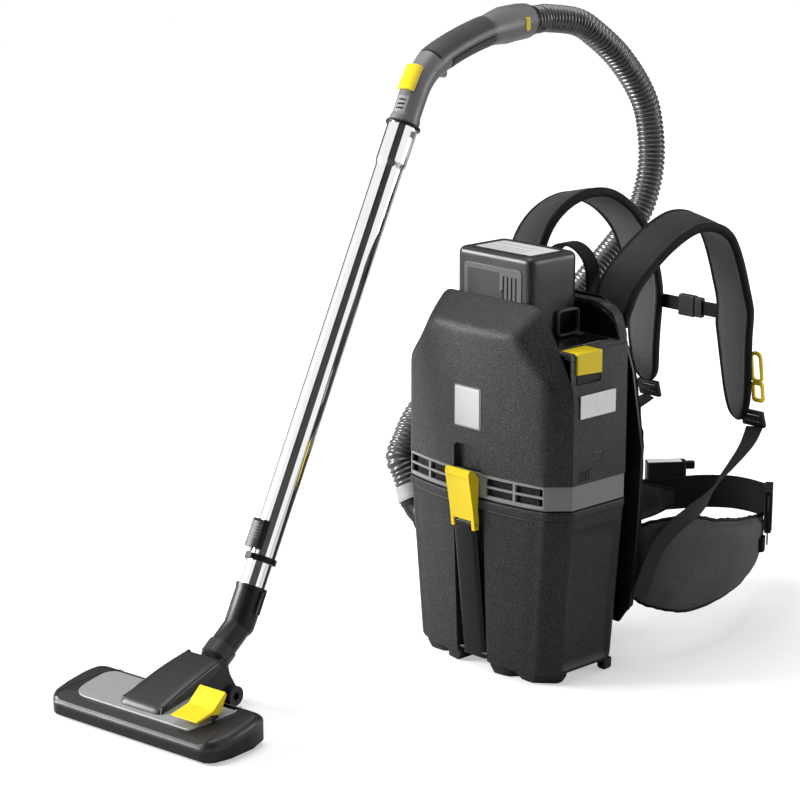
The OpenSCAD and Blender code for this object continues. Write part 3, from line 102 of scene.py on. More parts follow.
def run_lengths(points):
    runs = [0.0]
    for a, b in zip(points, points[1:]):
        runs.append(runs[-1] + (b - a).length)
    return runs


def resample(points, count):
    """count + 1 points at equal distances along a path."""
    runs = run_lengths(points)
    result, j = [], 0
    for i in range(count + 1):
        s = runs[-1] * i / count
        while j < len(points) - 2 and runs[j + 1] < s:
            j += 1
        t = (s - runs[j]) / max(runs[j + 1] - runs[j], 1e-9)
        result.append(points[j].lerp(points[j + 1], clamp(t)))
    return result


def headings(points):
    last = len(points) - 1
    return [(points[min(i + 1, last)] - points[max(i - 1, 0)]).normalized() for i in range(last + 1)]


def place(section, point, heading, ref):
    """Ring of section points (u, v) about point, u along ref as far as the heading allows."""
    u = (ref - heading * ref.dot(heading)).normalized()
    v = heading.cross(u)
    return [point + u * s[0] + v * s[1] for s in section]


def moving_frames(points, first_ref):
    """(u, v) at each point of a path, turned as little as possible from one to the next."""
    frames = []
    ref = Vector(first_ref)
    for heading in headings(points):
        u = (ref - heading * ref.dot(heading)).normalized()
        frames.append((u, heading.cross(u)))
        ref = u
    return frames


def circle(sides):
    """(cosine, sine) pairs evenly round a circle."""
    return [(math.cos(2 * math.pi * k / sides), math.sin(2 * math.pi * k / sides)) for k in range(sides)]


def round_ring(centre, u, v, radius, sides):
    """Ring in metres about a centre in millimetres, in the plane of u and v."""
    return [(centre + (u * c + v * s) * radius) * MM for c, s in circle(sides)]


def loft(rings, cap=True):
    """Vertices, faces and face-corner UVs in metres of a skin through closed rings."""
    n, m = len(rings[0]), len(rings)
    vertices = [p for ring in rings for p in ring]
    centres = [sum(ring, Vector()) / n for ring in rings]
    runs = run_lengths(centres)
    faces, uvs = [], []
    middle = rings[m // 2]
    around = [0.0]
    for i in range(n):
        around.append(around[-1] + (middle[(i + 1) % n] - middle[i]).length)
    for j in range(m - 1):
        for i in range(n):
            k = (i + 1) % n
            faces.append((j * n + i, j * n + k, (j + 1) * n + k, (j + 1) * n + i))
            uvs.append([(around[i], runs[j]), (around[i + 1], runs[j]),
                        (around[i + 1], runs[j + 1]), (around[i], runs[j + 1])])
    if cap:
        for ring, flip, run in ((0, True, runs[0]), (m - 1, False, runs[-1])):
            index = [ring * n + i for i in range(n)]
            faces.append(tuple(reversed(index)) if flip else tuple(index))
            uvs.append([(around[i], run) for i in (reversed(range(n)) if flip else range(n))])
    return vertices, faces, uvs


def merge_parts(parts):
    """One (vertices, faces, uvs) from several."""
    vertices, faces, uvs = [], [], []
    for part in parts:
        shift = len(vertices)
        vertices += list(part[0])
        faces += [tuple(i + shift for i in f) for f in part[1]]
        uvs += list(part[2]) if part[2] else [[(0, 0)] * len(f) for f in part[1]]
    return vertices, faces, uvs


def register(obj, body, slot=None, nodes=()):
    """Rides obj on a body and hides the CAD nodes it stands in for; without a named slot, its first material
    must be one that SLOT_OF lists.
    """
    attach(obj, body)
    slot or SLOT_OF[obj.data.materials[0].name]
    if nodes:
        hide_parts(*nodes)
    return obj


def body_of(node):
    """The body that a CAD node rides on."""
    return frame["nodes"][node]["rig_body"]


def add_object(name, data):
    obj = bpy.data.objects.new(name, data)
    scene.collection.objects.link(obj)
    return obj


def piece(name, part, body, material, nodes=(), sharp=40, slot=None, pick=None):
    """A new object from (vertices, faces, uvs).

    material may be a tuple of several, and pick(face index) then chooses among them."""
    vertices, faces, uvs = part
    mesh = bpy.data.meshes.new(name)
    mesh.from_pydata(vertices, [], faces)
    if uvs:
        layer = mesh.uv_layers.new(name="UVMap")
        for polygon, corners in zip(mesh.polygons, uvs):
            for loop, uv in zip(polygon.loop_indices, corners):
                layer.data[loop].uv = uv
    for entry in (material if isinstance(material, tuple) else (material,)):
        mesh.materials.append(entry)
    if pick:
        for polygon in mesh.polygons:
            polygon.material_index = pick(polygon.index)
    mesh.shade_smooth()
    mesh.set_sharp_from_angle(angle=math.radians(sharp))
    return register(add_object(name, mesh), body, slot, nodes)


def apply_modifiers(obj):
    """Puts the evaluated mesh in place of the base mesh and clears the modifiers."""
    depsgraph = bpy.context.evaluated_depsgraph_get()
    result = bpy.data.meshes.new_from_object(obj.evaluated_get(depsgraph))
    obj.modifiers.clear()
    obj.data = result


def even_shading(obj, sharp):
    """Smooth shading whose normals follow the larger faces, so that flat sides stay flat."""
    obj.data.shade_smooth()
    obj.data.set_sharp_from_angle(angle=math.radians(sharp))
    obj.modifiers.new("weighted", "WEIGHTED_NORMAL").keep_sharp = True
    apply_modifiers(obj)


def soften(obj, width, segments=2, angle=30, sharp=30):
    """Rounds an object's edges to width millimetres and evens its shading."""
    if width:
        bevel = obj.modifiers.new("edges", "BEVEL")
        bevel.width = width * MM
        bevel.segments = segments
        bevel.limit_method = "ANGLE"
        bevel.angle_limit = math.radians(angle)
        bevel.use_clamp_overlap = True
        bevel.miter_outer = "MITER_ARC"
        apply_modifiers(obj)
    even_shading(obj, sharp)


def cut(obj, part):
    """Cuts a closed shape out of an object."""
    mesh = bpy.data.meshes.new("cutter")
    mesh.from_pydata(part[0], [], part[1])
    cutter = add_object("cutter", mesh)
    modifier = obj.modifiers.new("cut", "BOOLEAN")
    modifier.operation = "DIFFERENCE"
    modifier.object = cutter
    modifier.solver = "EXACT"
    apply_modifiers(obj)
    bpy.data.objects.remove(cutter)
    even_shading(obj, 32)


def islands(bm):
    """Lists of vertices that hang together."""
    left = set(bm.verts)
    result = []
    while left:
        start = left.pop()
        group, stack = [start], [start]
        while stack:
            for edge in stack.pop().link_edges:
                for vert in edge.verts:
                    if vert in left:
                        left.discard(vert)
                        group.append(vert)
                        stack.append(vert)
        result.append(group)
    return result


MERGE_DIST, DEGENERATE_DIST, FLAT_ANGLE = 2e-6, 2e-5, math.radians(0.6)


def refine(node, name, material, width=0.8, segments=2, angle=30, sharp=30, slot=None, keep=None,
           flat=True, nodes=None):
    """A CAD node's shape with its edges rounded to width millimetres, in the node's place.

    keep(centre) picks some of the node's loose solids, by their centre in millimetres.
    flat joins the triangles of each flat side first."""
    source = frame["nodes"][node]
    mesh = source.data.copy()
    mesh.name = name
    mesh.materials.clear()
    mesh.materials.append(material)
    bm = bmesh.new()
    bm.from_mesh(mesh)
    bmesh.ops.remove_doubles(bm, verts=bm.verts, dist=MERGE_DIST)
    if keep:
        drop = []
        for island in islands(bm):
            centre = sum((v.co for v in island), Vector()) / len(island) / MM
            if not keep(centre):
                drop += island
        bmesh.ops.delete(bm, geom=drop, context="VERTS")
    bmesh.ops.dissolve_degenerate(bm, edges=bm.edges, dist=DEGENERATE_DIST)
    if flat:
        bmesh.ops.dissolve_limit(bm, angle_limit=FLAT_ANGLE, verts=bm.verts, edges=bm.edges)
    for face in bm.faces:
        face.material_index = 0
    bm.to_mesh(mesh)
    bm.free()
    obj = add_object(name, mesh)
    soften(obj, width, segments, angle, sharp)
    return register(obj, body_of(node), slot, [node] if nodes is None else nodes)


def refine_all(*rows):
    """Several CAD nodes in one go; each row holds refine's arguments."""
    for row in rows:
        refine(*row)


# ---------- camera ----------

def make_camera():
    data = bpy.data.cameras.new("camera")
    data.lens = 108.8
    data.sensor_width = 36
    data.clip_end = 60
    camera = add_object("camera", data)
    camera.location = (2.1394, -2.2062, 1.1305)
    camera.rotation_euler = (math.radians(75.78), 0, math.radians(46.94))
    scene.camera = camera


make_camera()


# ---------- materials ----------

# Places of the colour sockets of a Mix node
MIX_A, MIX_B, MIX_RESULT = 6, 7, 2
# A wave texture's period times its scale
WAVE_PERIOD = 0.314159


class Nodes:
    """The node tree of a material or world, cleared, with short ways to fill it."""

    def __init__(self, owner):
        owner.use_nodes = True
        self.tree = owner.node_tree
        self.tree.nodes.clear()

    def feed(self, node, inputs):
        """Sets a node's inputs, by name or number, to values, or links them to sockets."""
        for key, value in inputs.items():
            if isinstance(value, bpy.types.NodeSocket):
                self.tree.links.new(value, node.inputs[key])
            else:
                node.inputs[key].default_value = value

    def add(self, kind, inputs=None, **attributes):
        node = self.tree.nodes.new("ShaderNode" + kind)
        for key, value in attributes.items():
            setattr(node, key, value)
        self.feed(node, inputs or {})
        return node

    def math(self, operation, a, b, clamped=False):
        return self.add("Math", {0: a, 1: b}, operation=operation, use_clamp=clamped).outputs[0]

    def spread(self, value, low, high, from_low=0.0, from_high=1.0, kind="LINEAR"):
        """Value from the range from_low to from_high brought to low to high."""
        inputs = {"Value": value, "From Min": from_low, "From Max": from_high, "To Min": low, "To Max": high}
        return self.add("MapRange", inputs, interpolation_type=kind).outputs["Result"]


class Shader(Nodes):
    """A material with a Principled shader at its end; sizes are in millimetres."""

    def __init__(self, name, **values):
        self.material = bpy.data.materials.new(name)
        super().__init__(self.material)
        self.surface = self.add("BsdfPrincipled", values)
        self.add("OutputMaterial", {"Surface": self.surface.outputs[0]})

    def place(self, kind, scale=(1, 1, 1), turn=(0, 0, 0)):
        """Texture coordinates of that kind, scaled and turned."""
        inputs = {"Vector": self.add("TexCoord").outputs[kind], "Scale": scale, "Rotation": turn}
        return self.add("Mapping", inputs).outputs["Vector"]

    def noise(self, where, size, detail=3.0, rough=0.55):
        return self.add("TexNoise", {"Vector": where, "Scale": 1 / (size * MM), "Detail": detail,
                                     "Roughness": rough}).outputs["Fac"]

    def wave(self, where, period, axis="X", distortion=0.0):
        """Sine bands across the axis."""
        inputs = {"Vector": where, "Scale": WAVE_PERIOD / (period * MM), "Distortion": distortion,
                  "Detail": 1.0, "Detail Scale": 3.0}
        return self.add("TexWave", inputs, wave_type="BANDS", bands_direction=axis).outputs["Fac"]

    def cells(self, where, size, random=1.0):
        inputs = {"Vector": where, "Scale": 1 / (size * MM), "Randomness": random}
        return self.add("TexVoronoi", inputs, feature="F1").outputs["Distance"]

    def blend(self, factor, under, over):
        """Colour between under and over; each may be a colour or a socket."""
        under, over = (c if isinstance(c, bpy.types.NodeSocket) else (*c, 1.0) for c in (under, over))
        node = self.add("Mix", {"Factor": factor}, data_type="RGBA")
        self.feed(node, {MIX_A: under, MIX_B: over})
        return node.outputs[MIX_RESULT]

    def tint(self, mask, low, high, under, over, most=1.0):
        """From under, where mask is low, to over, where it is high, by at most that share."""
        return self.blend(self.spread(mask, 0.0, most, low, high), under, over)

    def finish(self, colour, roughness, height, distance, strength=1.0):
        """Gives the surface its colour, its roughness (a socket or a value) and its bump."""
        bump = self.add("Bump", {"Height": height, "Strength": strength, "Distance": distance * MM})
        self.feed(self.surface, {"Base Color": colour, "Roughness": roughness,
                                 "Normal": bump.outputs["Normal"]})
        return self.material


def shade(colour, factor):
    return tuple(clamp(c * factor) for c in colour)


def plastic(name, colour, rough=0.5, grain=0.9, depth=0.05, vary=0.12, specular=0.24, cells=False):
    """Moulded plastic: fine grain and faint blotches; cells gives it the pits of a grip."""
    s = Shader(name, **{"Specular IOR Level": specular})
    where = s.place("Object")
    fine = s.noise(where, grain, 4.0, 0.6)
    broad = s.noise(where, 45)
    tone = s.tint(fine, 0.35, 0.65, shade(colour, 1 - vary), shade(colour, 1 + vary))
    tone = s.tint(broad, 0.35, 0.7, tone, shade(colour, 0.8), 0.35)
    gloss = s.spread(broad, rough - 0.06, rough + 0.06, 0.3, 0.7)
    return s.finish(tone, gloss, s.cells(where, grain * 1.4) if cells else fine, depth)


def pebbled(name, colour, rough, size, depth, specular):
    """Coarse pebbled grain of a big moulding, its colour with painted light: pebble tops painted lighter and
    hollows painted darker as shade, and bright flecks painted as glints.
    """
    s = Shader(name, **{"Specular IOR Level": specular})
    where = s.place("Object")
    pebbles = s.cells(where, size)
    fine = s.noise(where, size * 0.6, 3.0, 0.6)
    broad = s.noise(where, 60)
    tops = s.spread(pebbles, 1.0, 0.0, 0.1, 0.65)
    height = s.math("ADD", s.math("MULTIPLY", tops, 0.7), s.math("MULTIPLY", fine, 0.5))
    # Colour follows the bump's height: painted highlight on the pebble tops and painted shade in the hollows
    tone = s.tint(height, 0.3, 1.0, shade(colour, 0.5), shade(colour, 1.6))
    # Bright flecks: painted glints on the grain
    painted_glint = s.noise(where, size * 0.65, 1.0, 0.5)
    tone = s.tint(painted_glint, 0.52, 0.68, tone, shade(colour, 4.5), 0.9)
    tone = s.tint(broad, 0.4, 0.7, tone, shade(colour, 0.75), 0.3)
    return s.finish(tone, s.spread(fine, rough + 0.1, rough - 0.1, 0.35, 0.65), height, depth)


def weave(name, colour, thread, rough=0.85, sheen=0.25, depth=0.12, kind="UV", contrast=0.35):
    """Plain woven cloth; kind says which coordinates its threads follow."""
    s = Shader(name, **{"Sheen Weight": sheen, "Sheen Roughness": 0.45, "Specular IOR Level": 0.12})
    where = s.place(kind)
    warp = s.wave(where, thread, "X", 0.4)
    weft = s.wave(where, thread, "Y", 0.4)
    if kind == "Object":
        weft = s.math("MULTIPLY", weft, s.wave(where, thread, "Z", 0.4))
    cross = s.math("MULTIPLY", warp, weft)
    fibre = s.noise(where, thread * 0.45, 3.0, 0.7)
    broad = s.noise(where, 35)
    height = s.math("ADD", cross, s.math("MULTIPLY", fibre, 0.5))
    tone = s.tint(height, 0.1, 1.1, shade(colour, 1 - contrast), shade(colour, 1 + contrast))
    tone = s.tint(broad, 0.35, 0.7, tone, shade(colour, 0.72), 0.4)
    return s.finish(tone, s.spread(broad, rough - 0.08, rough + 0.05, 0.3, 0.7), height, depth)


def webbing_cloth(name, colour):
    """Polyester webbing: ribs across and a fine twill, lying along v."""
    s = Shader(name, **{"Sheen Weight": 0.03, "Sheen Roughness": 0.4, "Specular IOR Level": 0.12})
    where = s.place("UV")
    ribs = s.wave(where, 1.7, "Y", 0.3)
    twill = s.wave(s.place("UV", turn=(0, 0, math.radians(58))), 1.1, "X", 0.4)
    fibre = s.noise(where, 0.5, 3.0, 0.7)
    height = s.math("ADD", s.math("MULTIPLY", ribs, 0.7), s.math("MULTIPLY", twill, 0.5))
    mask = s.math("ADD", height, s.math("MULTIPLY", fibre, 0.4))
    tone = s.tint(mask, 0.3, 1.4, shade(colour, 0.6), shade(colour, 1.4))
    return s.finish(tone, s.spread(fibre, 0.6, 0.8, 0.3, 0.7), height, 0.16)


def spacer_mesh(name, colour, hole, kind="Object"):
    """Open spacer mesh: round holes in rows over a darker ground."""
    s = Shader(name, **{"Sheen Weight": 0.07, "Sheen Roughness": 0.5, "Specular IOR Level": 0.15})
    where = s.place(kind)
    holes = s.cells(where, hole, random=0.0)
    fibre = s.noise(where, 0.5, 3.0, 0.7)
    broad = s.noise(where, 40)
    rim = s.spread(holes, 0.0, 1.0, 0.2, 0.42)
    tone = s.blend(rim, shade(colour, 0.25), shade(colour, 1.25))
    tone = s.tint(fibre, 0.4, 0.7, tone, shade(colour, 0.6), 0.4)
    tone = s.tint(broad, 0.4, 0.7, tone, shade(colour, 0.7), 0.3)
    return s.finish(tone, 0.85, s.math("ADD", rim, s.math("MULTIPLY", fibre, 0.3)), 0.35)


def pile(name, colour):
    """Close woven nylon, built of small cells and fibres so that it lies alike on every side."""
    s = Shader(name, **{"Sheen Weight": 0.1, "Sheen Roughness": 0.4, "Specular IOR Level": 0.2})
    where = s.place("Object")
    cells = s.cells(where, 1.1, random=0.5)
    fibre = s.noise(where, 0.6, 3.0, 0.7)
    broad = s.noise(where, 38)
    height = s.math("SUBTRACT", fibre, s.math("MULTIPLY", cells, 0.7))
    tone = s.tint(height, -0.2, 0.6, shade(colour, 0.6), shade(colour, 1.4))
    tone = s.tint(broad, 0.35, 0.7, tone, shade(colour, 0.72), 0.4)
    return s.finish(tone, s.spread(broad, 0.72, 0.85, 0.3, 0.7), height, 0.14)


def chrome(name):
    s = Shader(name, **{"Metallic": 1.0})
    where = s.place("Object", scale=(1, 1, 0.2))
    haze = s.noise(where, 18, 4.0, 0.6)
    scratch = s.noise(where, 0.6, 2.0, 0.5)
    tone = s.blend(haze, (0.84, 0.845, 0.85), (0.93, 0.93, 0.93))
    return s.finish(tone, s.spread(haze, 0.045, 0.095, 0.35, 0.75), scratch, 0.003, 0.5)


def brushed(name, colour, rough=0.35, metallic=1.0, stretch=(1, 14, 14)):
    """Brushed or lacquered metal with streaks along x."""
    s = Shader(name, **{"Metallic": metallic})
    streak = s.noise(s.place("Object", scale=stretch), 3.2, 4.0, 0.6)
    tone = s.blend(streak, shade(colour, 0.86), shade(colour, 1.12))
    return s.finish(tone, s.spread(streak, rough - 0.07, rough + 0.09, 0.3, 0.7), streak, 0.01, 0.6)


def foam(name, colour):
    s = Shader(name, **{"Specular IOR Level": 0.2})
    where = s.place("Object")
    pores = s.cells(where, 1.5)
    fine = s.noise(where, 1.0, 4.0, 0.7)
    tone = s.tint(pores, 0.15, 0.6, shade(colour, 2.6), shade(colour, 0.3))
    return s.finish(tone, 0.95, s.math("ADD", pores, fine), 0.6)


def clear_print(name, colour, rough=0.3, specular=0.5):
    """Bare label stock or lacquered plate with faint mottling."""
    s = Shader(name, **{"Specular IOR Level": specular, "Coat Weight": 0.15, "Coat Roughness": 0.2})
    mottle = s.noise(s.place("Object"), 5, 4.0, 0.6)
    tone = s.tint(mottle, 0.35, 0.65, shade(colour, 0.95), shade(colour, 1.03))
    return s.finish(tone, s.spread(mottle, rough - 0.04, rough + 0.06), mottle, 0.006, 0.5)


housing = pebbled("grained_housing", (0.0155, 0.0155, 0.016), 0.46, 1.7, 0.3, 0.24)
container_grain = pebbled("grained_container", (0.0125, 0.0125, 0.013), 0.48, 1.7, 0.3, 0.22)
black_plastic = plastic("black_plastic", (0.006, 0.006, 0.0062), 0.36, 0.8, 0.03, specular=0.2)
tool_plastic = plastic("tool_plastic", (0.021, 0.021, 0.022), 0.32, 0.9, 0.02, specular=0.28)
# Darker copy of tool_plastic: painted shade on the floor tool's walls, and the colour of its seam beads
shade_and_seam_plastic = plastic("shade_and_seam_plastic", (0.006, 0.006, 0.0062), 0.32, 0.9, 0.02, specular=0.24)
neck_plastic = plastic("neck_plastic", (0.008, 0.008, 0.0083), 0.34, 0.9, 0.03)
band_plastic = plastic("band_plastic", (0.2, 0.2, 0.203), 0.42, 0.8, 0.02, 0.05)
cuff_plastic = plastic("cuff_plastic", (0.34, 0.34, 0.345), 0.4, 0.8, 0.02, 0.05)
handle_plastic = plastic("handle_plastic", (0.15, 0.15, 0.152), 0.36, 0.7, 0.02, 0.06, 0.35)
window_plastic = plastic("window_plastic", (0.27, 0.27, 0.272), 0.3, 0.7, 0.01, 0.04)
grip_rubber = plastic("grip_rubber", (0.055, 0.055, 0.056), 0.6, 0.8, 0.09, 0.1, 0.25, cells=True)
yellow_plastic = plastic("yellow_plastic", (0.8, 0.6, 0.016), 0.36, 0.9, 0.02, 0.04)
green_plastic = plastic("green_plastic", (0.13, 0.36, 0.16), 0.4, 0.9, 0.02, 0.05)
seal_rubber = plastic("seal_rubber", (0.012, 0.012, 0.012), 0.6, 0.7, 0.04)
strap_plastic = plastic("closing_strap_plastic", (0.004, 0.004, 0.0042), 0.3, 1.2, 0.015, specular=0.18)
battery_plastic = plastic("battery_plastic", (0.02, 0.02, 0.0205), 0.28, 0.8, 0.02, 0.06, 0.28)
battery_panel = plastic("battery_panel", (0.08, 0.08, 0.081), 0.38, 0.8, 0.02, 0.05)
lens_gloss = plastic("lens_gloss", (0.02, 0.02, 0.028), 0.12, 0.7, 0.004, 0.05, 0.5)
inner_wall_gloss = plastic("inner_wall_gloss", (0.006, 0.006, 0.0063), 0.2, 0.9, 0.008, 0.05, 0.35)
hose_plastic = plastic("hose_plastic", (0.05, 0.05, 0.051), 0.2, 0.6, 0.012, 0.08, 0.75)
chrome_tube = chrome("chrome_tube")
trim_silver = brushed("trim_silver", (0.34, 0.345, 0.35), 0.34, 0.35, (1, 1, 1))
steel = brushed("steel", (0.6, 0.6, 0.62), 0.3)
copper = brushed("winding_copper", (0.72, 0.4, 0.2), 0.35)
board_green = plastic("board_green", (0.04, 0.2, 0.08), 0.35, 0.7, 0.02)
fan_plastic = plastic("fan_plastic", (0.45, 0.45, 0.45), 0.4, 0.7, 0.02)
plate_silver = brushed("plate_silver", (0.4, 0.4, 0.405), 0.45, 0.3, (1, 1, 12))
label_white = clear_print("label_white", (0.78, 0.78, 0.78))
label_grey = clear_print("label_grey", (0.3, 0.3, 0.3))
label_dark = clear_print("label_dark", (0.016, 0.016, 0.0165), 0.45, 0.2)
vent_foam = foam("vent_foam", (0.02, 0.02, 0.021))
bristle = plastic("bristle", (0.02, 0.02, 0.02), 0.5, 0.5, 0.05)
strap_face = weave("strap_face", (0.036, 0.036, 0.037), 0.9, sheen=0.04, depth=0.06, contrast=0.25)
strap_lining = spacer_mesh("strap_lining", (0.085, 0.085, 0.087), 2.4, "UV")
binding = weave("binding", (0.0022, 0.0022, 0.0023), 0.7, 0.6, 0.0, 0.1)
pad_cloth = spacer_mesh("pad_mesh", (0.012, 0.012, 0.0125), 3.0)
wing_cloth = pile("wing_cloth", (0.065, 0.065, 0.066))
wing_lining = spacer_mesh("wing_lining", (0.018, 0.018, 0.0185), 3.0)
webbing = webbing_cloth("webbing", (0.005, 0.005, 0.0052))
light_webbing = webbing_cloth("light_webbing", (0.02, 0.02, 0.0205))
thread = plastic("thread", (0.07, 0.07, 0.072), 0.8, 0.4, 0.05)
fleece = weave("fleece", (0.6, 0.58, 0.52), 1.6, 0.9, 0.3, 0.2, "Object")

# The record's material slot of each material
SLOT_OF = {material.name: slot for slot, materials in {
    "housing_plastic": (housing, container_grain),
    "dark_plastic": (black_plastic, tool_plastic, shade_and_seam_plastic, neck_plastic, inner_wall_gloss),
    "band_plastic": (band_plastic, cuff_plastic, window_plastic),
    "handle_plastic": (handle_plastic,),
    "insert_rubber": (grip_rubber,),
    "yellow_plastic": (yellow_plastic,),
    "green_plastic": (green_plastic,),
    "seal_rubber": (seal_rubber, vent_foam),
    "closing_strap_plastic": (strap_plastic,),
    "battery_plastic": (battery_plastic, battery_panel, label_grey, label_dark),
    "lens_gloss": (lens_gloss,),
    "hose_plastic": (hose_plastic,),
    "tube_chrome": (chrome_tube,),
    "trim_silver": (trim_silver, plate_silver, label_white),
    "pin_steel": (steel,),
    "stator_copper": (copper,),
    "board_green": (board_green,),
    "fan_plastic": (fan_plastic,),
    "bristle": (bristle,),
    "strap_cloth": (strap_lining,),
    "belt_cloth": (wing_cloth, binding, thread),
    "pad_mesh": (pad_cloth,),
    "webbing": (webbing, light_webbing),
    "bag_fleece": (fleece,)}.items() for material in materials}


# ---------- the wand's line, with the sizes of the CAD ----------

YAW = math.radians(8.2)
TOOL_X, TOOL_Y = -109.5, -563
WAND = math.radians(61)
NECK_Y, NECK_Z = 232, 138
RING_S, TUBE_L = 36, 604
COLLAR_S = RING_S + TUBE_L
# Handle: a straight socket, then an arc down to GRIP_A and a flatter arc down to level
GRIP_L1, GRIP_R1, GRIP_R2 = 43, 98, 575
GRIP_A = math.radians(20)
ARC1 = GRIP_R1 * math.radians(61 - 20)
ARC2 = GRIP_R2 * GRIP_A
HANDLE_L = GRIP_L1 + ARC1 + ARC2
ACROSS = Vector((1, 0, 0))
ALONG_WAND = Vector((0, math.cos(WAND), math.sin(WAND)))


def to_pack(p):
    """A point of the wand's own frame brought into the pack's frame."""
    return Vector((TOOL_X + p[0] * math.cos(YAW) - p[1] * math.sin(YAW),
                   TOOL_Y + p[0] * math.sin(YAW) + p[1] * math.cos(YAW), p[2]))


def wand_point(s):
    return Vector((0, NECK_Y + s * math.cos(WAND), NECK_Z + s * math.sin(WAND)))


def grip_tilt(d):
    """Tilt of the handle's line, d along it."""
    if d <= GRIP_L1:
        return WAND
    if d <= GRIP_L1 + ARC1:
        return WAND - (d - GRIP_L1) / GRIP_R1
    return max(0.0, GRIP_A - (d - GRIP_L1 - ARC1) / GRIP_R2)


def arc_step(p, r, a, b):
    return p + r * Vector((0, math.sin(a) - math.sin(b), math.cos(b) - math.cos(a)))


def grip_point(d):
    p1 = wand_point(COLLAR_S + min(d, GRIP_L1))
    if d <= GRIP_L1:
        return p1
    a = grip_tilt(d)
    p2 = arc_step(p1, GRIP_R1, WAND, max(a, GRIP_A))
    if d <= GRIP_L1 + ARC1:
        return p2
    p3 = arc_step(p2, GRIP_R2, GRIP_A, a)
    return p3 + Vector((0, max(0, d - HANDLE_L), 0))


# ---------- hose ----------

RISE = math.radians(60)
EXIT_DIR = Vector((-math.cos(RISE), 0, math.sin(RISE)))
HOSE_EXIT = Vector((-182.749, -18, 203.150))
CUFF_L = 14
END_DIR = Vector((math.sin(YAW), -math.cos(YAW), 0))
HOSE_GAP = 0.1
HOSE_START = HOSE_EXIT + HOSE_GAP * EXIT_DIR
HOSE_STOP = to_pack(grip_point(HANDLE_L + CUFF_L)) - HOSE_GAP * END_DIR
HOSE_ROUTE = (
    [HOSE_START, HOSE_START + 20 * EXIT_DIR, HOSE_START + 40 * EXIT_DIR]
    + [Vector(p) for p in (
        (-206, -2, 260), (-209, 14, 280), (-209, 34, 299), (-208, 58, 316), (-206, 86, 329),
        (-203, 118, 339), (-200, 152, 346), (-199, 192, 352), (-201, 233, 361), (-206, 276, 376),
        (-212, 318, 396), (-216, 358, 421), (-213, 402, 456), (-209, 442, 490), (-206, 472, 524),
        (-205, 488, 561), (-205, 494, 600), (-206, 491, 640), (-208, 482, 678), (-213, 463, 714),
        (-221, 432, 753), (-230, 396, 784), (-236, 360, 805))]
    + [HOSE_STOP - 40 * END_DIR, HOSE_STOP - 20 * END_DIR, HOSE_STOP])
HOSE_R, HOSE_GROOVE, HOSE_BORE, HOSE_RIBS = 20.0, 2.6, 15.0, 150
# One rib: a rounded crest over two thirds of the pitch, then a narrow groove, as shares of its depth
RIB_DROPS = (1.0, 0.95, 0.5, 0.12, 0.0, 0.04, 0.16, 0.55)


def make_hose():
    steps, sides = len(RIB_DROPS), 30
    line = smooth(HOSE_ROUTE, 6)
    path = resample(line, HOSE_RIBS * steps)
    rings, bore = [], []
    for i, (p, (u, v)) in enumerate(zip(path, moving_frames(path, ACROSS))):
        rings.append(round_ring(p, u, v, HOSE_R - HOSE_GROOVE * RIB_DROPS[i % steps], sides))
        if i % steps == 0:
            bore.append(list(reversed(round_ring(p, u, v, HOSE_BORE, sides))))
    vertices, faces, uvs = merge_parts([loft(rings, cap=False), loft(bore, cap=False)])
    # Rims that join the outside to the bore at both ends
    last, first_in = (len(rings) - 1) * sides, len(rings) * sides
    last_in = first_in + (len(bore) - 1) * sides
    for i in range(sides):
        k = (i + 1) % sides
        a, b = sides - 1 - i, sides - 1 - k
        faces.append((k, i, first_in + a, first_in + b))
        faces.append((last + i, last + k, last_in + b, last_in + a))
        uvs += [[(0, 0)] * 4] * 2
    hose = piece("ribbed_hose", (vertices, faces, uvs), "root", hose_plastic, ["suction_hose"], sharp=60)
    cuffs = [refine("hose_cuff", "pack_cuff", cuff_plastic, 1.0, 3),
             refine("swivel_cuff", "handle_cuff", black_plastic, 1.0, 3)]
    run_lengths(line)[-1] * MM


make_hose()


# ---------- shapes that several pieces share ----------

def front_at(x, half=123, y=73):
    """Y of the bowed front at x, where the front is 2 * half wide and y is its edge's place."""
    return -y - bow(x, half)


BOW_R = 500


def bow(x, half):
    """How far the front stands out at x before its edges at half."""
    return math.sqrt(BOW_R ** 2 - x * x) - math.sqrt(BOW_R ** 2 - half ** 2)


def patch(x0, x1, z0, z1, thick, radius=2.0, y_of=lambda x: 0):
    """Thin plate with round corners that follows the surface y_of(x) and stands thick proud of it."""
    outline = []
    for cx, cz, start in ((x1 - radius, z1 - radius, 0), (x0 + radius, z1 - radius, 90),
                          (x0 + radius, z0 + radius, 180), (x1 - radius, z0 + radius, 270)):
        for k in range(5):
            a = math.radians(start + 22.5 * k)
            outline.append((cx + radius * math.cos(a), cz + radius * math.sin(a)))
    edge = min(0.4, thick / 2)
    mid_x, mid_z = (x0 + x1) / 2, (z0 + z1) / 2
    # (height, share of the width, share of the length): a softened edge, then support rings
    levels = [(proud, 1 - inset / abs(x1 - x0) * 2, 1 - inset / abs(z1 - z0) * 2)
              for proud, inset in ((-0.5, 0.0), (thick - edge, 0.0), (thick - 0.3 * edge, 0.3 * edge),
                                   (thick, edge), (thick, edge + 0.4))]
    levels += [(thick, k, k) for k in (0.7, 0.4, 0.1)]
    rings = []
    for proud, kx, kz in levels:
        ring = []
        for x, z in outline:
            fx = (x - mid_x) * kx + mid_x
            ring.append(vec(fx, y_of(fx) - proud, (z - mid_z) * kz + mid_z))
        rings.append(ring)
    vertices, faces, _ = loft(rings)
    return vertices, faces, None


def turned(part, matrix):
    return [matrix @ Vector(p) for p in part[0]], part[1], part[2]


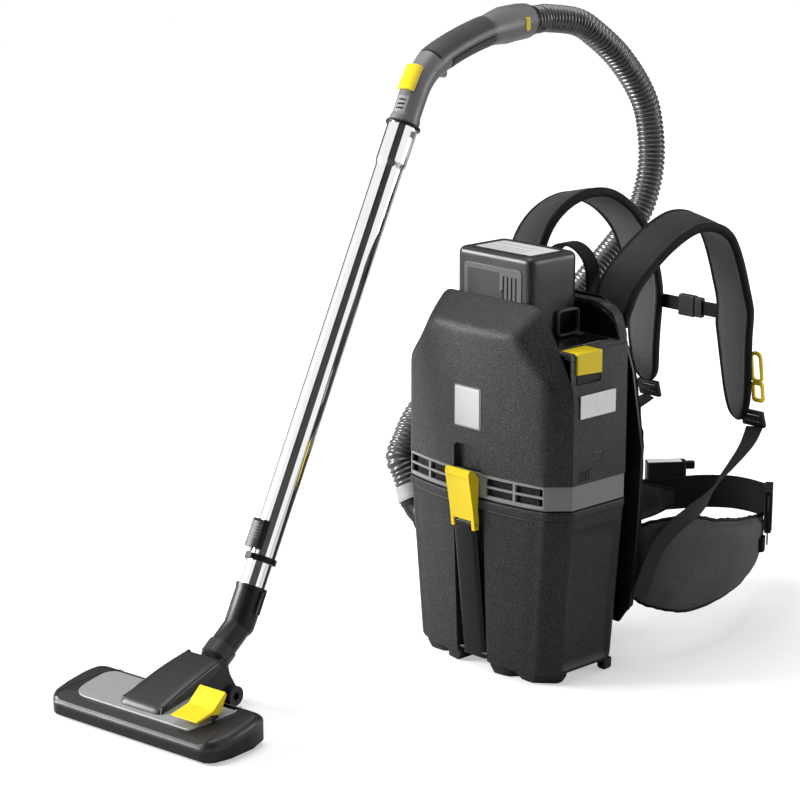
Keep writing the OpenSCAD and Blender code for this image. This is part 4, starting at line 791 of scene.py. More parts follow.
def lying(part, z):
    """A patch drawn about the origin, laid face up at height z; its z runs along y."""
    return turned(part, Matrix.Translation(vec(0, 0, z)) @ Matrix.Rotation(math.radians(-90), 4, "X"))


def facing_right(part, x):
    """A patch drawn on y = 0, put on a right side wall at x; its x runs along y."""
    return turned(part, Matrix.Translation(vec(x, 0, 0)) @ Matrix.Rotation(math.radians(90), 4, "Z"))


def slab(profile, x0, x1):
    """Solid with a (y, z) profile from x0 to x1."""
    return loft([[vec(x, y, z) for y, z in profile] for x in (x0, x1)])


def rod(y, z, radius, half):
    return slab([(y + radius * c, z + radius * s) for c, s in circle(20)], -half, half)


def bend(a, b, c, t):
    """Point at t on the curve from a to c that is pulled towards b."""
    return a * (1 - t) ** 2 + 2 * b * t * (1 - t) + c * t * t


CORNER_STEPS = (0, 0.17, 0.34, 0.5, 0.66, 0.83, 1)


def round_outline(corners, radii, spans):
    """Closed outline with its corners rounded; spans[i] points on the side after corner i.

    The number of points depends only on spans, so outlines of one kind can be lofted."""
    n = len(corners)
    corners = [Vector(c) for c in corners]
    points = []
    for i in range(n):
        a, b, c = corners[i - 1], corners[i], corners[(i + 1) % n]
        r = min(radii[i], (b - a).length * 0.45, (c - b).length * 0.45)
        start, end = b + (a - b).normalized() * r, b + (c - b).normalized() * r
        points += [bend(start, b, end, t) for t in CORNER_STEPS]
        r_next = min(radii[(i + 1) % n], (c - b).length * 0.45)
        stop = c + (b - c).normalized() * r_next
        points += [end.lerp(stop, k / (spans[i] + 1)) for k in range(1, spans[i] + 1)]
    return points


def round_box(x0, x1, y0, y1, radius, span=0):
    return round_outline([(x0, y0), (x1, y0), (x1, y1), (x0, y1)], [radius] * 4, [span] * 4)


# ---------- container ----------

# Container below its lip: half width, front edge and back, and how far each draws in down to the foot
CAN_HW, CAN_FRONT, CAN_BACK = 145, 72, 75
DRAFT_HW, DRAFT_FRONT, DRAFT_BACK = 16, 5.5, 2
CAN_WALL_TOP, CAN_WALL_H = 228, 214
FRONT_CHAMFER, BACK_CHAMFER = 24, 22
GROOVE_DEPTH, GROOVE_HW, GROOVE_EDGE = 13, 27.4, 32
GROOVE_XS = (27.6, 27.1, 26.6, 26.1, 20, 8)
FOOT_Z = 14
LIP_HW = 147
# Closing strap: its hinge at the foot and the latch's pin
HINGE_Y, HINGE_Z, PIN_Y, PIN_Z = -71.65, 24.0, -91.15, 205.0


def draft(z):
    """Share of the draft at height z: 0 under the lip, 1 at the foot."""
    return (CAN_WALL_TOP - z) / CAN_WALL_H


def front_line(half, y_front, depth, left_end, right_end):
    """The bowed front from left to right, with the strap's groove let in."""
    edge = GROOVE_EDGE
    xs = [left_end + (-edge - left_end) * k / 8 for k in range(9)]
    xs += [-x for x in GROOVE_XS] + list(reversed(GROOVE_XS))
    xs += [edge + (right_end - edge) * k / 8 for k in range(9)]
    line = []
    for x in xs:
        wall = ease((GROOVE_HW - abs(x)) / 1.2)
        line.append((x, -y_front - bow(x, half) + (depth + bow(x, half) - bow(0, half)) * wall))
    return line


def can_ring(z, hw, yf, yb, depth, sink=0.0, panel=True):
    """Outline of the container at height z, its corners rounded and its side panels let in."""
    fh, chamfer = hw - FRONT_CHAMFER, 27 - yf
    corners = [(-fh, -yf), (fh, -yf), (hw, chamfer), (hw, yb - BACK_CHAMFER), (hw - BACK_CHAMFER, yb),
               (BACK_CHAMFER - hw, yb), (-hw, yb - BACK_CHAMFER), (-hw, chamfer)]
    ring = round_outline(corners, [7, 7, 7, 9, 9, 9, 9, 7], [0, 3, 26, 3, 8, 3, 26, 3])
    start, end = ring[6], ring[7]
    # The bow of the front moves the two rounded corners out a little
    front = front_line(fh, yf, depth, start.x, end.x)
    ring = ring[:7] + [Vector(p) for p in front[1:-1]] + ring[7:]
    result = []
    for x, y in ring:
        if panel and abs(x) > hw - 1:
            inset = ease((y + 42) / 7) * ease((50 - y) / 9) * ease((214 - z) / 11) * ease((z - 18) / 8)
            x -= math.copysign(4.2 * inset, x)
        if sink:
            k = 1 - sink / math.hypot(x, y)
            x, y = x * k, y * k
        result.append(vec(x, y, z))
    return result


def can_shell():
    """The container's open shell: foot, wall with the groove, lip and the inside."""
    rows = []

    def wall_ring(z, sink=0.0):
        k = draft(z)
        rows.append(can_ring(z, CAN_HW - DRAFT_HW * k, CAN_FRONT - DRAFT_FRONT * k,
                             CAN_BACK - DRAFT_BACK * k, GROOVE_DEPTH, sink))

    for z, sink in ((FOOT_Z, 7.0), (14.6, 3.6), (16.5, 1.6), (20.0, 0.3)):
        wall_ring(z, sink)
    for k in range(1, 29):
        wall_ring(20 + 184 * k / 28)
    for z in (207, 210, 213, 217, 221, 225.9):
        wall_ring(z)
    rows.append(can_ring(226.1, CAN_HW, CAN_FRONT, CAN_BACK, 0))
    for z, hw, sink in ((227.5, 145, 0), (228.3, 146.2, 0), (229.4, 146.9, 0), (231, LIP_HW, 0),
                        (236, LIP_HW, 0), (238.6, LIP_HW, 0), (239.6, LIP_HW, 0.5),
                        (240, LIP_HW, 1.4), (240, LIP_HW, 9.5), (237, LIP_HW, 10)):
        rows.append(can_ring(z, hw, hw - 73.5, CAN_BACK, 0, sink, panel=False))
    for z in (225, 120, 19, 17.5):
        k = draft(z)
        rows.append(can_ring(z, 136 - DRAFT_HW * k, 62 - DRAFT_FRONT * k, 66, GROOVE_DEPTH, panel=False))
    return loft(rows)


def mirrored(rings, side):
    """Rings drawn for the right side, kept or put on the left, still turned outwards."""
    if side > 0:
        return rings
    return [[Vector((-p.x, p.y, p.z)) for p in reversed(ring)] for ring in rings]


def front_foot():
    """Faceted foot right of the strap's groove, with a notch in its front."""
    hw, yf, inner = 124, 61.5, 28
    fh = hw - FRONT_CHAMFER
    mid = Vector((74, -50))
    outline = [(inner + (fh - inner) * k / 12, -yf - bow(inner + (fh - inner) * k / 12, fh))
               for k in range(13)]
    outline += [(hw, 27 - yf), (hw, -26), (inner, -26)]
    rings = []
    for z, inset, notch_depth in ((0, 7.5, 12), (1.6, 5.5, 12), (9, 1.0, 7), (15, -0.5, 2)):
        ring = []
        for x, y in outline:
            notch = notch_depth * max(0, 1 - abs(x - 62) / 11) * (y < mid.y)
            k = 1 - inset / math.hypot(x - mid.x, y - mid.y)
            ring.append(vec(mid.x + (x - mid.x) * k, mid.y + (y - mid.y) * k + notch, z))
        rings.append(ring)
    return rings


def rear_foot():
    """Small round-edged block at a rear corner, drawn in towards the floor."""
    block = round_box(112, 126, 44, 59.5, 2.5)
    mid_x, mid_y = 119, 52
    return [[vec(mid_x + (x - mid_x) * (1 - inset / 8), mid_y + (y - mid_y) * (1 - inset / 9), z)
             for x, y in block] for z, inset in ((0, 2.5), (2.5, 0.3), (15, 0))]


def make_container():
    parts = [can_shell()]
    for side in (-1, 1):
        parts += [loft(mirrored(front_foot(), side)), loft(mirrored(rear_foot(), side))]
    # Port flange on the left wall
    port = [[vec(x, -18 + r * c, 167.5 - r * s) for c, s in circle(40)]
            for x, r in ((-136, 29.5), (-143.6, 29.5), (-145, 28.2), (-145, 17.4), (-138, 17.2))]
    parts.append(loft(port, cap=False))
    piece("container_body", merge_parts(parts), "root", container_grain, ["dust_container"], sharp=32)
    refine_all(("container_seal", "rim_seal", seal_rubber, 0.4),
               ("filter_basket", "basket_body", black_plastic, 0.5),
               ("inlet_elbow", "inlet_bend", neck_plastic, 0.8, 3, 40))
    make_closing_strap()
    refine("front_latch", "latch_lever", yellow_plastic, 0.9, 3, flat=False)
    refine("latch_pin", "pin", steel, 0.3)


def make_closing_strap():
    """Plain strap from its hinge at the foot up to the latch's pin, a little crowned across."""
    rings = []
    # (height, width, thickness)
    marks = [(17, 42, 2.2), (18.5, 42, 2.9), (24, 42, 3), (60, 41.4, 3)]
    marks += [(60 + 27.2 * k, 41.4, 3) for k in range(1, 5)]
    marks += [(189, 41.6, 3), (194.5, 41.2, 2.9), (196.4, 38, 2.6), (198, 30.4, 2.8),
              (206.5, 30, 2.8), (208.6, 29.4, 2.2), (209.4, 28, 1.0)]
    for z, w, t in marks:
        share = clamp((z - HINGE_Z) / (PIN_Z - HINGE_Z), -0.05, 1)
        y = HINGE_Y + (PIN_Y - HINGE_Y) * share
        ring = []
        for k in range(-7, 8):
            q = k / 7
            edge = math.sqrt(max(0.0, 1 - abs(q) ** 8))
            ring.append(vec(q * w / 2, y - t * edge * (1 - 0.12 * q * q) - 0.3 * (1 - q * q), z))
        ring += [vec(w / 2 * q, y + t * 0.95, z) for q in (0.96, 0.5, 0, -0.5, -0.96)]
        rings.append(ring)
    parts = [loft(rings), rod(HINGE_Y, HINGE_Z, 3, 25), rod(PIN_Y, PIN_Z, 3.4, 15)]
    piece("strap_band", merge_parts(parts), "closing_strap", strap_plastic, ["closure_strap"], sharp=45)


# ---------- power head and battery ----------

HALF_W = 147
HEAD_Z, BAND_TOP, DECK_Z = 242, 274, 445
COVER_MID = Vector((0, 352))


def make_cover():
    """Bowed front cover: a face set in from a wider back edge, joined by chamfers."""
    back = [(-HALF_W, BAND_TOP), (HALF_W, BAND_TOP), (HALF_W, 395), (112, 460), (83, 497), (-83, 497),
            (-112, 460), (-HALF_W, 395)]
    face = [(-123, BAND_TOP), (123, BAND_TOP), (123, 407), (91, 439), (75, 463), (-75, 463), (-91, 439),
            (-123, 407)]
    spans = [24, 14, 6, 4, 16, 4, 6, 14]
    outer = round_outline(back, [0.5, 0.5, 16, 22, 12, 12, 22, 16], spans)
    inner = round_outline(face, [0.5, 0.5, 12, 14, 10, 10, 14, 12], spans)

    def on_face(share):
        """The face's outline drawn in towards its middle, on the bowed front."""
        points = [COVER_MID + (p - COVER_MID) * share for p in inner]
        return [vec(p.x, front_at(p.x), p.y) for p in points]

    first = [vec(p.x, -46, p.y) for p in outer]
    edge = on_face(1)
    rings = [first]
    rings += [[a.lerp(b, t) for a, b in zip(first, edge)] for t in (0.03, 0.3, 0.55)]
    # The edge is rounded by 10 mm, less towards the vent band
    soft = [(1.5 + 8.5 * ease((p.y - BAND_TOP) / 10)) * MM for p in inner]
    for t in (0, 0.2, 0.4, 0.6, 0.8, 1):
        ring = []
        for a, b, c, r in zip(first, edge, on_face(0.86), soft):
            p0 = b + (a - b).normalized() * min(r, (a - b).length * 0.4)
            p2 = b + (c - b).normalized() * min(r, (c - b).length * 0.8)
            ring.append(bend(p0, b, p2, t))
        rings.append(ring)
    rings += [on_face(share) for share in (0.86, 0.7, 0.5, 0.3, 0.1)]
    rings = [list(reversed(ring)) for ring in rings]
    cover = piece("cover_shell", loft(rings), "power_head", housing, ["front_cover"], sharp=32)
    # Hollow for the fingers over the latch
    rings = []
    for y, grow in ((-79.0, -2.5), (-81.0, -0.5), (-84.0, 0.3), (-100, 3)):
        w, top = 24 + grow, 307 + grow
        shape = round_outline([(-w, 262), (w, 262), (w, top), (-w, top)], [1, 1, 8, 8], [1] * 4)
        rings.append([vec(p.x, y, p.y) for p in shape])
    cut(cover, loft(rings))


def make_battery_button():
    """The L-shaped button with the underside of its lip cut free, over a black block that paints the shade
    in its pocket.
    """
    button = refine("battery_button", "release_button", yellow_plastic, 1.0, 3)
    cut(button, slab([(-60, 400), (20, 400), (20, 415), (-60, 419)], 100, 160))
    # Black block in the pocket under the button's lip: painted shade
    pocket = slab([(-38.5, 406.5), (3.5, 406.5), (3.5, 414.5), (-38.5, 416.5)], 118.5, 144.5)
    piece("button_pocket", pocket, "power_head", black_plastic)


def make_vent_filter():
    """Foam behind the vent slots, following the bow."""
    rings = []
    for x in range(-112, 113, 8):
        y = front_at(x, 122, 72) + 5.2
        rings.append([vec(x, y, BAND_TOP - 3), vec(x, y + 2, BAND_TOP - 3), vec(x, y + 2, HEAD_Z + 3),
                      vec(x, y, HEAD_Z + 3)])
    piece("vent_filter", loft(rings), "power_head", vent_foam)


def make_deck():
    """Glossy face of the rear wall, and dark glossy plates on the deck round the battery that paint the
    shade there.
    """
    shape = round_outline([(-125, 446), (125, 446), (117, 466), (100, 480), (77, 484.5), (-77, 484.5),
                           (-100, 480), (-117, 466)], [2, 2, 8, 8, 6, 6, 8, 8], [20, 3, 3, 3, 20, 3, 3, 3])
    mid_z = 466
    rings = [[vec(p.x * k, y, mid_z + (p.y - mid_z) * k) for p in shape]
             for y, k in ((60.4, 1), (59.5, 1), (59.2, 0.996), (59.2, 0.97), (59.2, 0.5), (59.2, 0.1))]
    piece("wall_face", loft(rings), "power_head", inner_wall_gloss, sharp=30)
    # Dark plates on the deck beside the battery: painted shade
    for side in (-1, 1):
        deck = patch(92 * side - 21, 92 * side + 21, -34, 57, 0.5, 6)
        piece("deck_shade_plate_%d" % (side + 1), lying(deck, DECK_Z), "power_head", inner_wall_gloss)


def make_head():
    make_cover()
    refine("head_base", "base_plate", black_plastic, 0.5)
    refine("vent_band", "band", band_plastic, 0.5, 2, 40, flat=False)
    refine("main_housing", "housing_shell", housing, 0, flat=False)
    make_battery_button()
    refine_all(("battery_terminals", "terminal_block", black_plastic, 0.3),
               ("status_lens", "lens", lens_gloss, 0.5),
               ("motor_casing", "motor_case", black_plastic, 0.5),
               ("motor_stator", "stator", copper, 0.4),
               ("motor_bearings", "bearings", steel, 0.3),
               ("fan_rotor", "rotor", fan_plastic, 0.2),
               ("control_board", "board", board_green, 0.2),
               ("housing_screws", "screws", steel, 0.2))
    make_vent_filter()
    make_deck()
    # Bare plates: one in its frame on the cover, one on the right wall
    piece("cover_plate_frame", patch(-24, 24, 331, 386, 0.6, 2.5, front_at), "power_head", band_plastic,
          slot="dark_plastic")
    piece("cover_plate", patch(-22, 22, 333, 384, 1.4, 1.5, front_at), "power_head", plate_silver)
    plate = patch(-34, 31, 360, 390, 0.8, 1.5)
    piece("side_plate", facing_right(plate, HALF_W), "power_head", label_white)


BATTERY_HW, BATTERY_HD = 66.5, 44
BATTERY_Z, BATTERY_TOP = 423.3, 555.3


def make_battery():
    rings = []
    for z, inset in ((BATTERY_Z, 1.5), (BATTERY_Z + 1.5, 0), (470, 0), (520, 0), (546, 0), (549, 0.25),
                     (551.4, 1.1), (553.4, 2.6), (554.7, 4.6), (BATTERY_TOP, 7), (BATTERY_TOP, 15.2),
                     (BATTERY_TOP - 0.9, 16), (BATTERY_TOP - 0.9, 30)):
        hw, hd = BATTERY_HW - inset, BATTERY_HD - inset
        shape = round_outline([(-hw, -hd), (hw, -hd), (hw, hd), (-hw, hd)], [max(10 - inset * 0.4, 3)] * 4,
                              [8, 6, 8, 6])
        rings.append([vec(p.x, p.y, z) for p in shape])
    piece("battery_shell", loft(rings), "battery", battery_plastic, ["battery_case"], sharp=50)
    panel = piece("battery_front", patch(-51.5, 51.5, 449.3, 537.3, 1.1, 5, lambda x: -BATTERY_HD),
                  "battery", battery_panel, sharp=50)
    for k in range(4):
        x = 20 + 7.4 * k
        shape = round_box(x - 1.7, x + 1.7, 461, 527, 1.2)
        cut(panel, loft([[vec(p.x, y, p.y) for p in shape] for y in (-43, -50)]))
    fields = [(482, 531, label_dark), (473, 479, label_grey), (456, 470, label_dark)]
    for number, (z0, z1, material) in enumerate(fields):
        field = patch(-45, 12, z0, z1, 0.25, 1.5, lambda x: -BATTERY_HD - 1.05)
        piece("battery_field_%d" % number, field, "battery", material)
    # Bare label in the top's recess, with thin bands
    label_z = BATTERY_TOP - 1.0
    piece("battery_label", lying(patch(-52, 52, -29, 29, 0.35, 3), label_z), "battery", label_white,
          slot="battery_plastic")
    bands = merge_parts([patch(-46, 30, y, y + 2, 0.45, 0.8) for y in (-20, -12, -4, 10)])
    piece("battery_label_band", lying(bands, label_z), "battery", label_grey)
    # Stiff pull frame on the battery's right side, close to the deck
    line = [Vector((69.5, p.x, p.y)) for p in round_box(4, 42, 449, 481, 7, 1)]
    piece("battery_pull", ribbon(line + line[:2], 6, 3, ACROSS, 1.0), "battery", battery_panel, sharp=50)
    piece("battery_pull_field", facing_right(patch(6, 40, 451, 479, 1.0, 5), BATTERY_HW), "battery",
          inner_wall_gloss, slot="battery_plastic")


def ribbon(path, w, t, ref, edge=0.4, last=None):
    """Webbing of width w and thickness t along path, with softened edges.

    It lies towards ref, or turns from ref to last over the first half of the path."""
    top = [(w / 2 - edge, t / 2), (w / 4, t / 2), (0, t / 2), (-w / 4, t / 2), (-w / 2 + edge, t / 2)]
    section = [(-w / 2, 0)] + [(u, -v) for u, v in reversed(top)] + [(w / 2, 0)] + top
    rings = []
    for i, (p, h) in enumerate(zip(path, headings(path))):
        side = ref if last is None else ref + (last - ref) * min(1, 2 * i / (len(path) - 1))
        rings.append([q * MM for q in place(section, p, h, side)])
    return loft(rings)


make_container()
make_head()
make_battery()


# ---------- harness ----------

STRAP_X, STRAP_W, STRAP_T, STRAP_ROLL = 82, 62, 14, math.radians(12)
STRAP_LIP = 6.5
STRAP_ROUTES = {
    -1: [(95.2, 452), (95.2, 478), (99.5, 505), (106, 532), (122, 558), (150, 579), (190, 591),
         (235, 588), (276, 567), (312, 531), (334, 482), (345, 442), (345, 412), (346, 370), (350, 335),
         (358, 306)],
    1: [(95.2, 452), (95.2, 472), (102, 493), (118, 513), (146, 534), (184, 556), (228, 571), (268, 568),
        (299, 550), (320, 514), (335, 474), (345, 442), (345, 412), (350, 368), (356, 322), (361.5, 278)]}
# Materials of a strap, by zone
LINING, BINDING, FACE = 0, 1, 2


def strap_outline(w, t):
    """(u, v, zone) round a padded strap of width w: lining, binding, face, binding."""
    flat = w / 2 - STRAP_LIP
    edge = STRAP_LIP / 2 + 0.4
    points = []
    for turn, zone in ((1, LINING), (-1, FACE)):
        for k in range(11):
            q = k / 10
            crown = 1.4 * (1 - (2 * q - 1) ** 4)
            points.append((turn * (flat - 2 * flat * q), turn * (t / 2 - 1.6 + crown), zone))
        for k in range(9):
            a = math.radians(90 + 22.5 * k)
            points.append((turn * (-w / 2 + edge + edge * math.cos(a)),
                           turn * (t / 2 - 0.4) * math.sin(a), BINDING))
    return points


def make_shoulder_strap(side, name, node):
    path = smooth([(side * STRAP_X, y, z) for y, z in STRAP_ROUTES[side]], 2)
    n = len(path) - 1
    # Narrower at the pack, and drawn in towards the lower end
    widths = [STRAP_W * (0.8 + 0.07 * i if i < 3 else 0.62 + 0.063 * (n - i) if i > n - 6 else 1.0)
              for i in range(n + 1)]
    fine_steps, end_steps = 6, 14
    fine = smooth(path, fine_steps)
    ref = Vector((math.cos(STRAP_ROLL), 0, -side * math.sin(STRAP_ROLL)))
    rings, zones = [], []
    total = len(fine) - 1
    for i, (p, h) in enumerate(zip(fine, headings(fine))):
        at = i / fine_steps
        j = min(int(at), n - 1)
        w = widths[j] + (widths[j + 1] - widths[j]) * (at - j)
        # The lower end is rounded off
        end = (total - i) / end_steps
        if end < 1:
            w *= math.sqrt(clamp(1 - (1 - end) ** 2, 0.02, 1)) * 0.9 + 0.1
        t = STRAP_T * (0.55 + 0.45 * ease(i / 10)) * (0.5 + 0.5 * ease((total - i) / 5))
        outline = strap_outline(w, t)
        zones = [o[2] for o in outline]
        ring = []
        for u, v, zone in outline:
            wrinkle = 0.0
            if zone != BINDING:
                q = Vector((u * 0.03, i * 0.22, side * 7 + zone * 3))
                wrinkle = 0.55 * noise.noise(q) + 0.25 * noise.noise(q * 2.7)
            ring.append((u, v + wrinkle * (1 if v > 0 else -1)))
        rings.append([q * MM for q in place(ring, p, h, ref)])
    count = len(zones)

    def pick(face):
        """Binding on the caps and wherever two zones meet."""
        zone = zones[face % count]
        on_side = face < (len(rings) - 1) * count
        return zone if on_side and zone == zones[(face + 1) % count] else BINDING

    strap = piece(name, loft(rings), "root", (strap_lining, binding, strap_face), [node], sharp=70,
                  pick=pick)


PAD_Y, PAD_T = 79.6, 24
PAD_COLUMNS, PAD_STEPS = 56, 110
# Half width at each height, and how full the pad is there: thin rows are its cross channels
PAD_EDGE = [(59, 125), (86, 144), (197, 154), (301, 158), (404, 139), (471, 115), (482, 106), (494, 82)]
PAD_ROWS = [(62, 0.3), (70, 0.75), (100, 1), (150, 1), (166, 0.98), (174, 0.62), (182, 0.98),
            (230, 1), (284, 0.98), (292, 0.62), (300, 0.98), (350, 1), (412, 0.96), (424, 0.7), (434, 0.4),
            (480, 0.4), (488, 0.4), (492, 0.25)]
SPINE_TOP, SPINE_HW = 440, 11


def make_back_pad():
    """Closed pad: flat back on the plate, crowned and channelled towards the wearer."""
    z0, z1 = PAD_ROWS[0][0], PAD_ROWS[-1][0]
    rings = []
    for j in range(PAD_STEPS + 1):
        z = z0 + (z1 - z0) * j / PAD_STEPS
        fullness = lookup(z, PAD_ROWS)
        w = lookup(z, PAD_EDGE) - 6 * (1 - ease(min(z - z0, z1 - z) / 7))
        ring = [vec(-w + 3, PAD_Y, z), vec(w - 3, PAD_Y, z)]
        for i in range(PAD_COLUMNS + 1):
            q = math.cos(math.pi * i / PAD_COLUMNS)
            x = w * q
            # Channel along the spine
            dip = 1 - 0.45 * math.exp(-(abs(x) / SPINE_HW) ** 4) if z < SPINE_TOP else 1.0
            crown = 1 - abs(q) ** 5
            wave = 0.5 * noise.noise(Vector((x * 0.03, z * 0.03, 2))) if fullness > 0.3 else 0
            lift = 2.5 + (PAD_T * fullness - 2.5) * crown * dip + wave * crown * 1.6
            ring.append(vec(x, PAD_Y + lift, z))
        rings.append(ring)
    pad = piece("back_pad_cushion", loft(rings), "root", pad_cloth, ["back_pad"], sharp=60)
    swell(pad, 3.0, 2.0, 6.0, 12, hold=lambda p: p.y < PAD_Y + 3)


def swell(obj, cap, pressure=4.0, voxel=5.0, frames=18, hold=None):
    """Cloth simulation of a stuffed piece; no point moves more than cap millimetres.

    hold(point) says which points stay where they are."""
    even = obj.modifiers.new("even", "REMESH")
    even.mode = "VOXEL"
    even.voxel_size = voxel * MM
    apply_modifiers(obj)
    before = [v.co.copy() for v in obj.data.vertices]
    cloth = obj.modifiers.new("cloth", "CLOTH")
    if hold:
        group = obj.vertex_groups.new(name="hold")
        group.add([i for i, p in enumerate(before) if hold(p / MM)], 1.0, "REPLACE")
        cloth.settings.vertex_group_mass = "hold"
    cloth.settings.use_pressure = True
    cloth.settings.uniform_pressure_force = pressure
    cloth.settings.effector_weights.gravity = 0
    cloth.settings.quality = 5
    cloth.point_cache.frame_start = 1
    cloth.point_cache.frame_end = frames
    for frame_number in range(1, frames + 1):
        scene.frame_set(frame_number)
    depsgraph = bpy.context.evaluated_depsgraph_get()
    moved = [v.co.copy() for v in obj.evaluated_get(depsgraph).data.vertices]
    obj.modifiers.clear()
    scene.frame_set(1)
    for vertex, a, b in zip(obj.data.vertices, before, moved):
        step = b - a
        if step.length > cap * MM:
            step *= cap * MM / step.length
        vertex.co = a + step
    finer = obj.modifiers.new("finer", "SUBSURF")
    finer.levels = finer.render_levels = 1
    apply_modifiers(obj)
    obj.data.shade_smooth()


def bead(path, radius, sides=8):
    """Round bead along a path."""
    return loft([round_ring(p, u, v, radius, sides)
                 for p, (u, v) in zip(path, moving_frames(path, (0.3, 0.2, 0.9)))])


# Hip wing: (x, y, lowest z, highest z, thickness) from the pack round to the hip webbing
WING_ROUTE = [(124, 95.9, 86, 188, 7), (148, 109, 76, 200, 12), (164, 140, 64, 203, 14),
              (169, 178, 60, 197, 14), (165, 225, 60, 184, 14), (151, 280, 60, 170, 14),
              (131, 335, 68, 157, 13), (101, 393, 88, 140, 11), (80, 424, 106, 130, 6)]
WING_HELD = (104, 419)
WING_SECTION = 15
SEAM_INSET = 11
OUTSIDE_SHARE = -0.3


def make_wing(side, name, node):
    line = smooth([(side * p[0], p[1], 0) for p in WING_ROUTE], 12)
    sizes = smooth([(p[2], p[3], p[4]) for p in WING_ROUTE], 12)
    # The cloth swells to the full thickness
    start_share = 0.82
    rings, edges, seams = [], ([], []), ([], [])

    def outwards(heading):
        return Vector((heading.y, -heading.x, 0)) * side

    for i, (p, (low, high, t), h) in enumerate(zip(line, sizes, headings(line))):
        half = (high - low) / 2
        section = []
        for k in range(2 * WING_SECTION):
            a = math.pi * (k + 0.5) / WING_SECTION
            c, d = math.cos(a), math.sin(a)
            u = half * math.copysign(abs(c) ** 0.5, c)
            v = t / 2 * math.copysign(abs(d) ** 0.6, d) * start_share
            v += 0.5 * abs(d) * noise.noise(Vector((u * 0.04, i * 0.12, side * 3 + (1 if d > 0 else 0))))
            section.append((u * 0.985, v))
        middle = Vector((p.x, p.y, (low + high) / 2))
        rings.append([q * MM for q in place(section, middle, h, Vector((0, 0, 1)))])
        face = outwards(h) * (t / 2 * 0.9)
        for edge, seam, z, inwards in zip(edges, seams, (high, low), (-1, 1)):
            edge.append(Vector((p.x, p.y, z + 0.6 * inwards)))
            seam.append(Vector((p.x, p.y, z + SEAM_INSET * inwards)) + face)

    wing = piece(name, loft(rings), "root", (wing_cloth, wing_lining), [node], sharp=70)
    swell(wing, 5.0, hold=lambda p: not WING_HELD[0] <= p.y <= WING_HELD[1])
    for polygon in wing.data.polygons:
        y = polygon.center.y / MM
        j = min(range(len(line)), key=lambda k: abs(line[k].y - y))
        out = outwards(headings(line[max(j - 1, 0):j + 2])[0])
        polygon.material_index = 0 if polygon.normal.dot(out) > OUTSIDE_SHARE else 1
    bpy.context.view_layer.update()

    def on_skin(points, proud):
        """The nearest points on the wing's skin, evened out along the line."""
        hits = []
        for p in points:
            _, spot, normal, _ = wing.closest_point_on_mesh(p * MM)
            hits.append(spot / MM + normal * proud)
        return [hits[0]] + [(a + 2 * b + c) / 4 for a, b, c in zip(hits, hits[1:], hits[2:])] + [hits[-1]]

    piping = [bead(on_skin(edge[1:-1], 0.2), 2.6) for edge in edges]
    stitches = [bead(on_skin(seam[2:-2], 0.1), 0.55, 6) for seam in seams]
    piece(name + "_piping", merge_parts(piping), "root", binding, sharp=80)
    piece(name + "_seam", merge_parts(stitches), "root", thread, sharp=80)


UP = Vector((0, 0, 1))
HIP_BUCKLE = Vector((66.2, 456.2, 126))
HIP_ALONG = Vector((23, -29.6, 0)).normalized()
STERNUM_Y, STERNUM_Z = 354, 427
# Where the lower webbing leaves each strap's lock, and its way over the wing to the pad's corner
LOCKS = ((-1, Vector((83, 361.4, 295))), (1, Vector((99, 372.3, 282))))
LOWER_ROUTE = ((150, 240, 226), (169, 190, 214), (176, 152, 205), (172, 123, 191), (163, 101.5, 166),
               (155.5, 90, 130), (149.5, 83.5, 100))
HIP_ROUTE = ((-113.5, 384.5, 120), (-107, 397, 120), (-84, 427, 122), (-63, 453, 124), (-42, 471, 125),
             (-20, 482, 126), (4, 487, 126), (26, 486, 126))
# Keeper at the end of the right wing: its middle, and its outline along and across the webbing
KEEPER = Vector((126.5, 362, 107))
KEEPER_ALONG, KEEPER_OUT = Vector((-0.5, 0.866, 0)), Vector((0.866, 0.5, 0))
KEEPER_LOOP = ((0, -3), (-8, -3), (-10, -1), (-10, 4), (-7, 6), (0, 6.5), (7, 6), (9, 4), (9, -1),
               (8, -3), (0, -3))


def make_haul_loop():
    r, y = 40, PAD_Y + 21.9
    line = [Vector((-r, y, 482)), Vector((-r, y, 505))]
    for degrees in range(180, -1, -10):
        a = math.radians(degrees)
        line.append(Vector((r * math.cos(a), y, 508 + r * math.sin(a))))
    line += [Vector((r, y, 505)), Vector((r, y, 482))]
    piece("grab_loop", ribbon(line, 24, 4, Vector((0, 1, 0))), "root", webbing, ["haul_loop"])


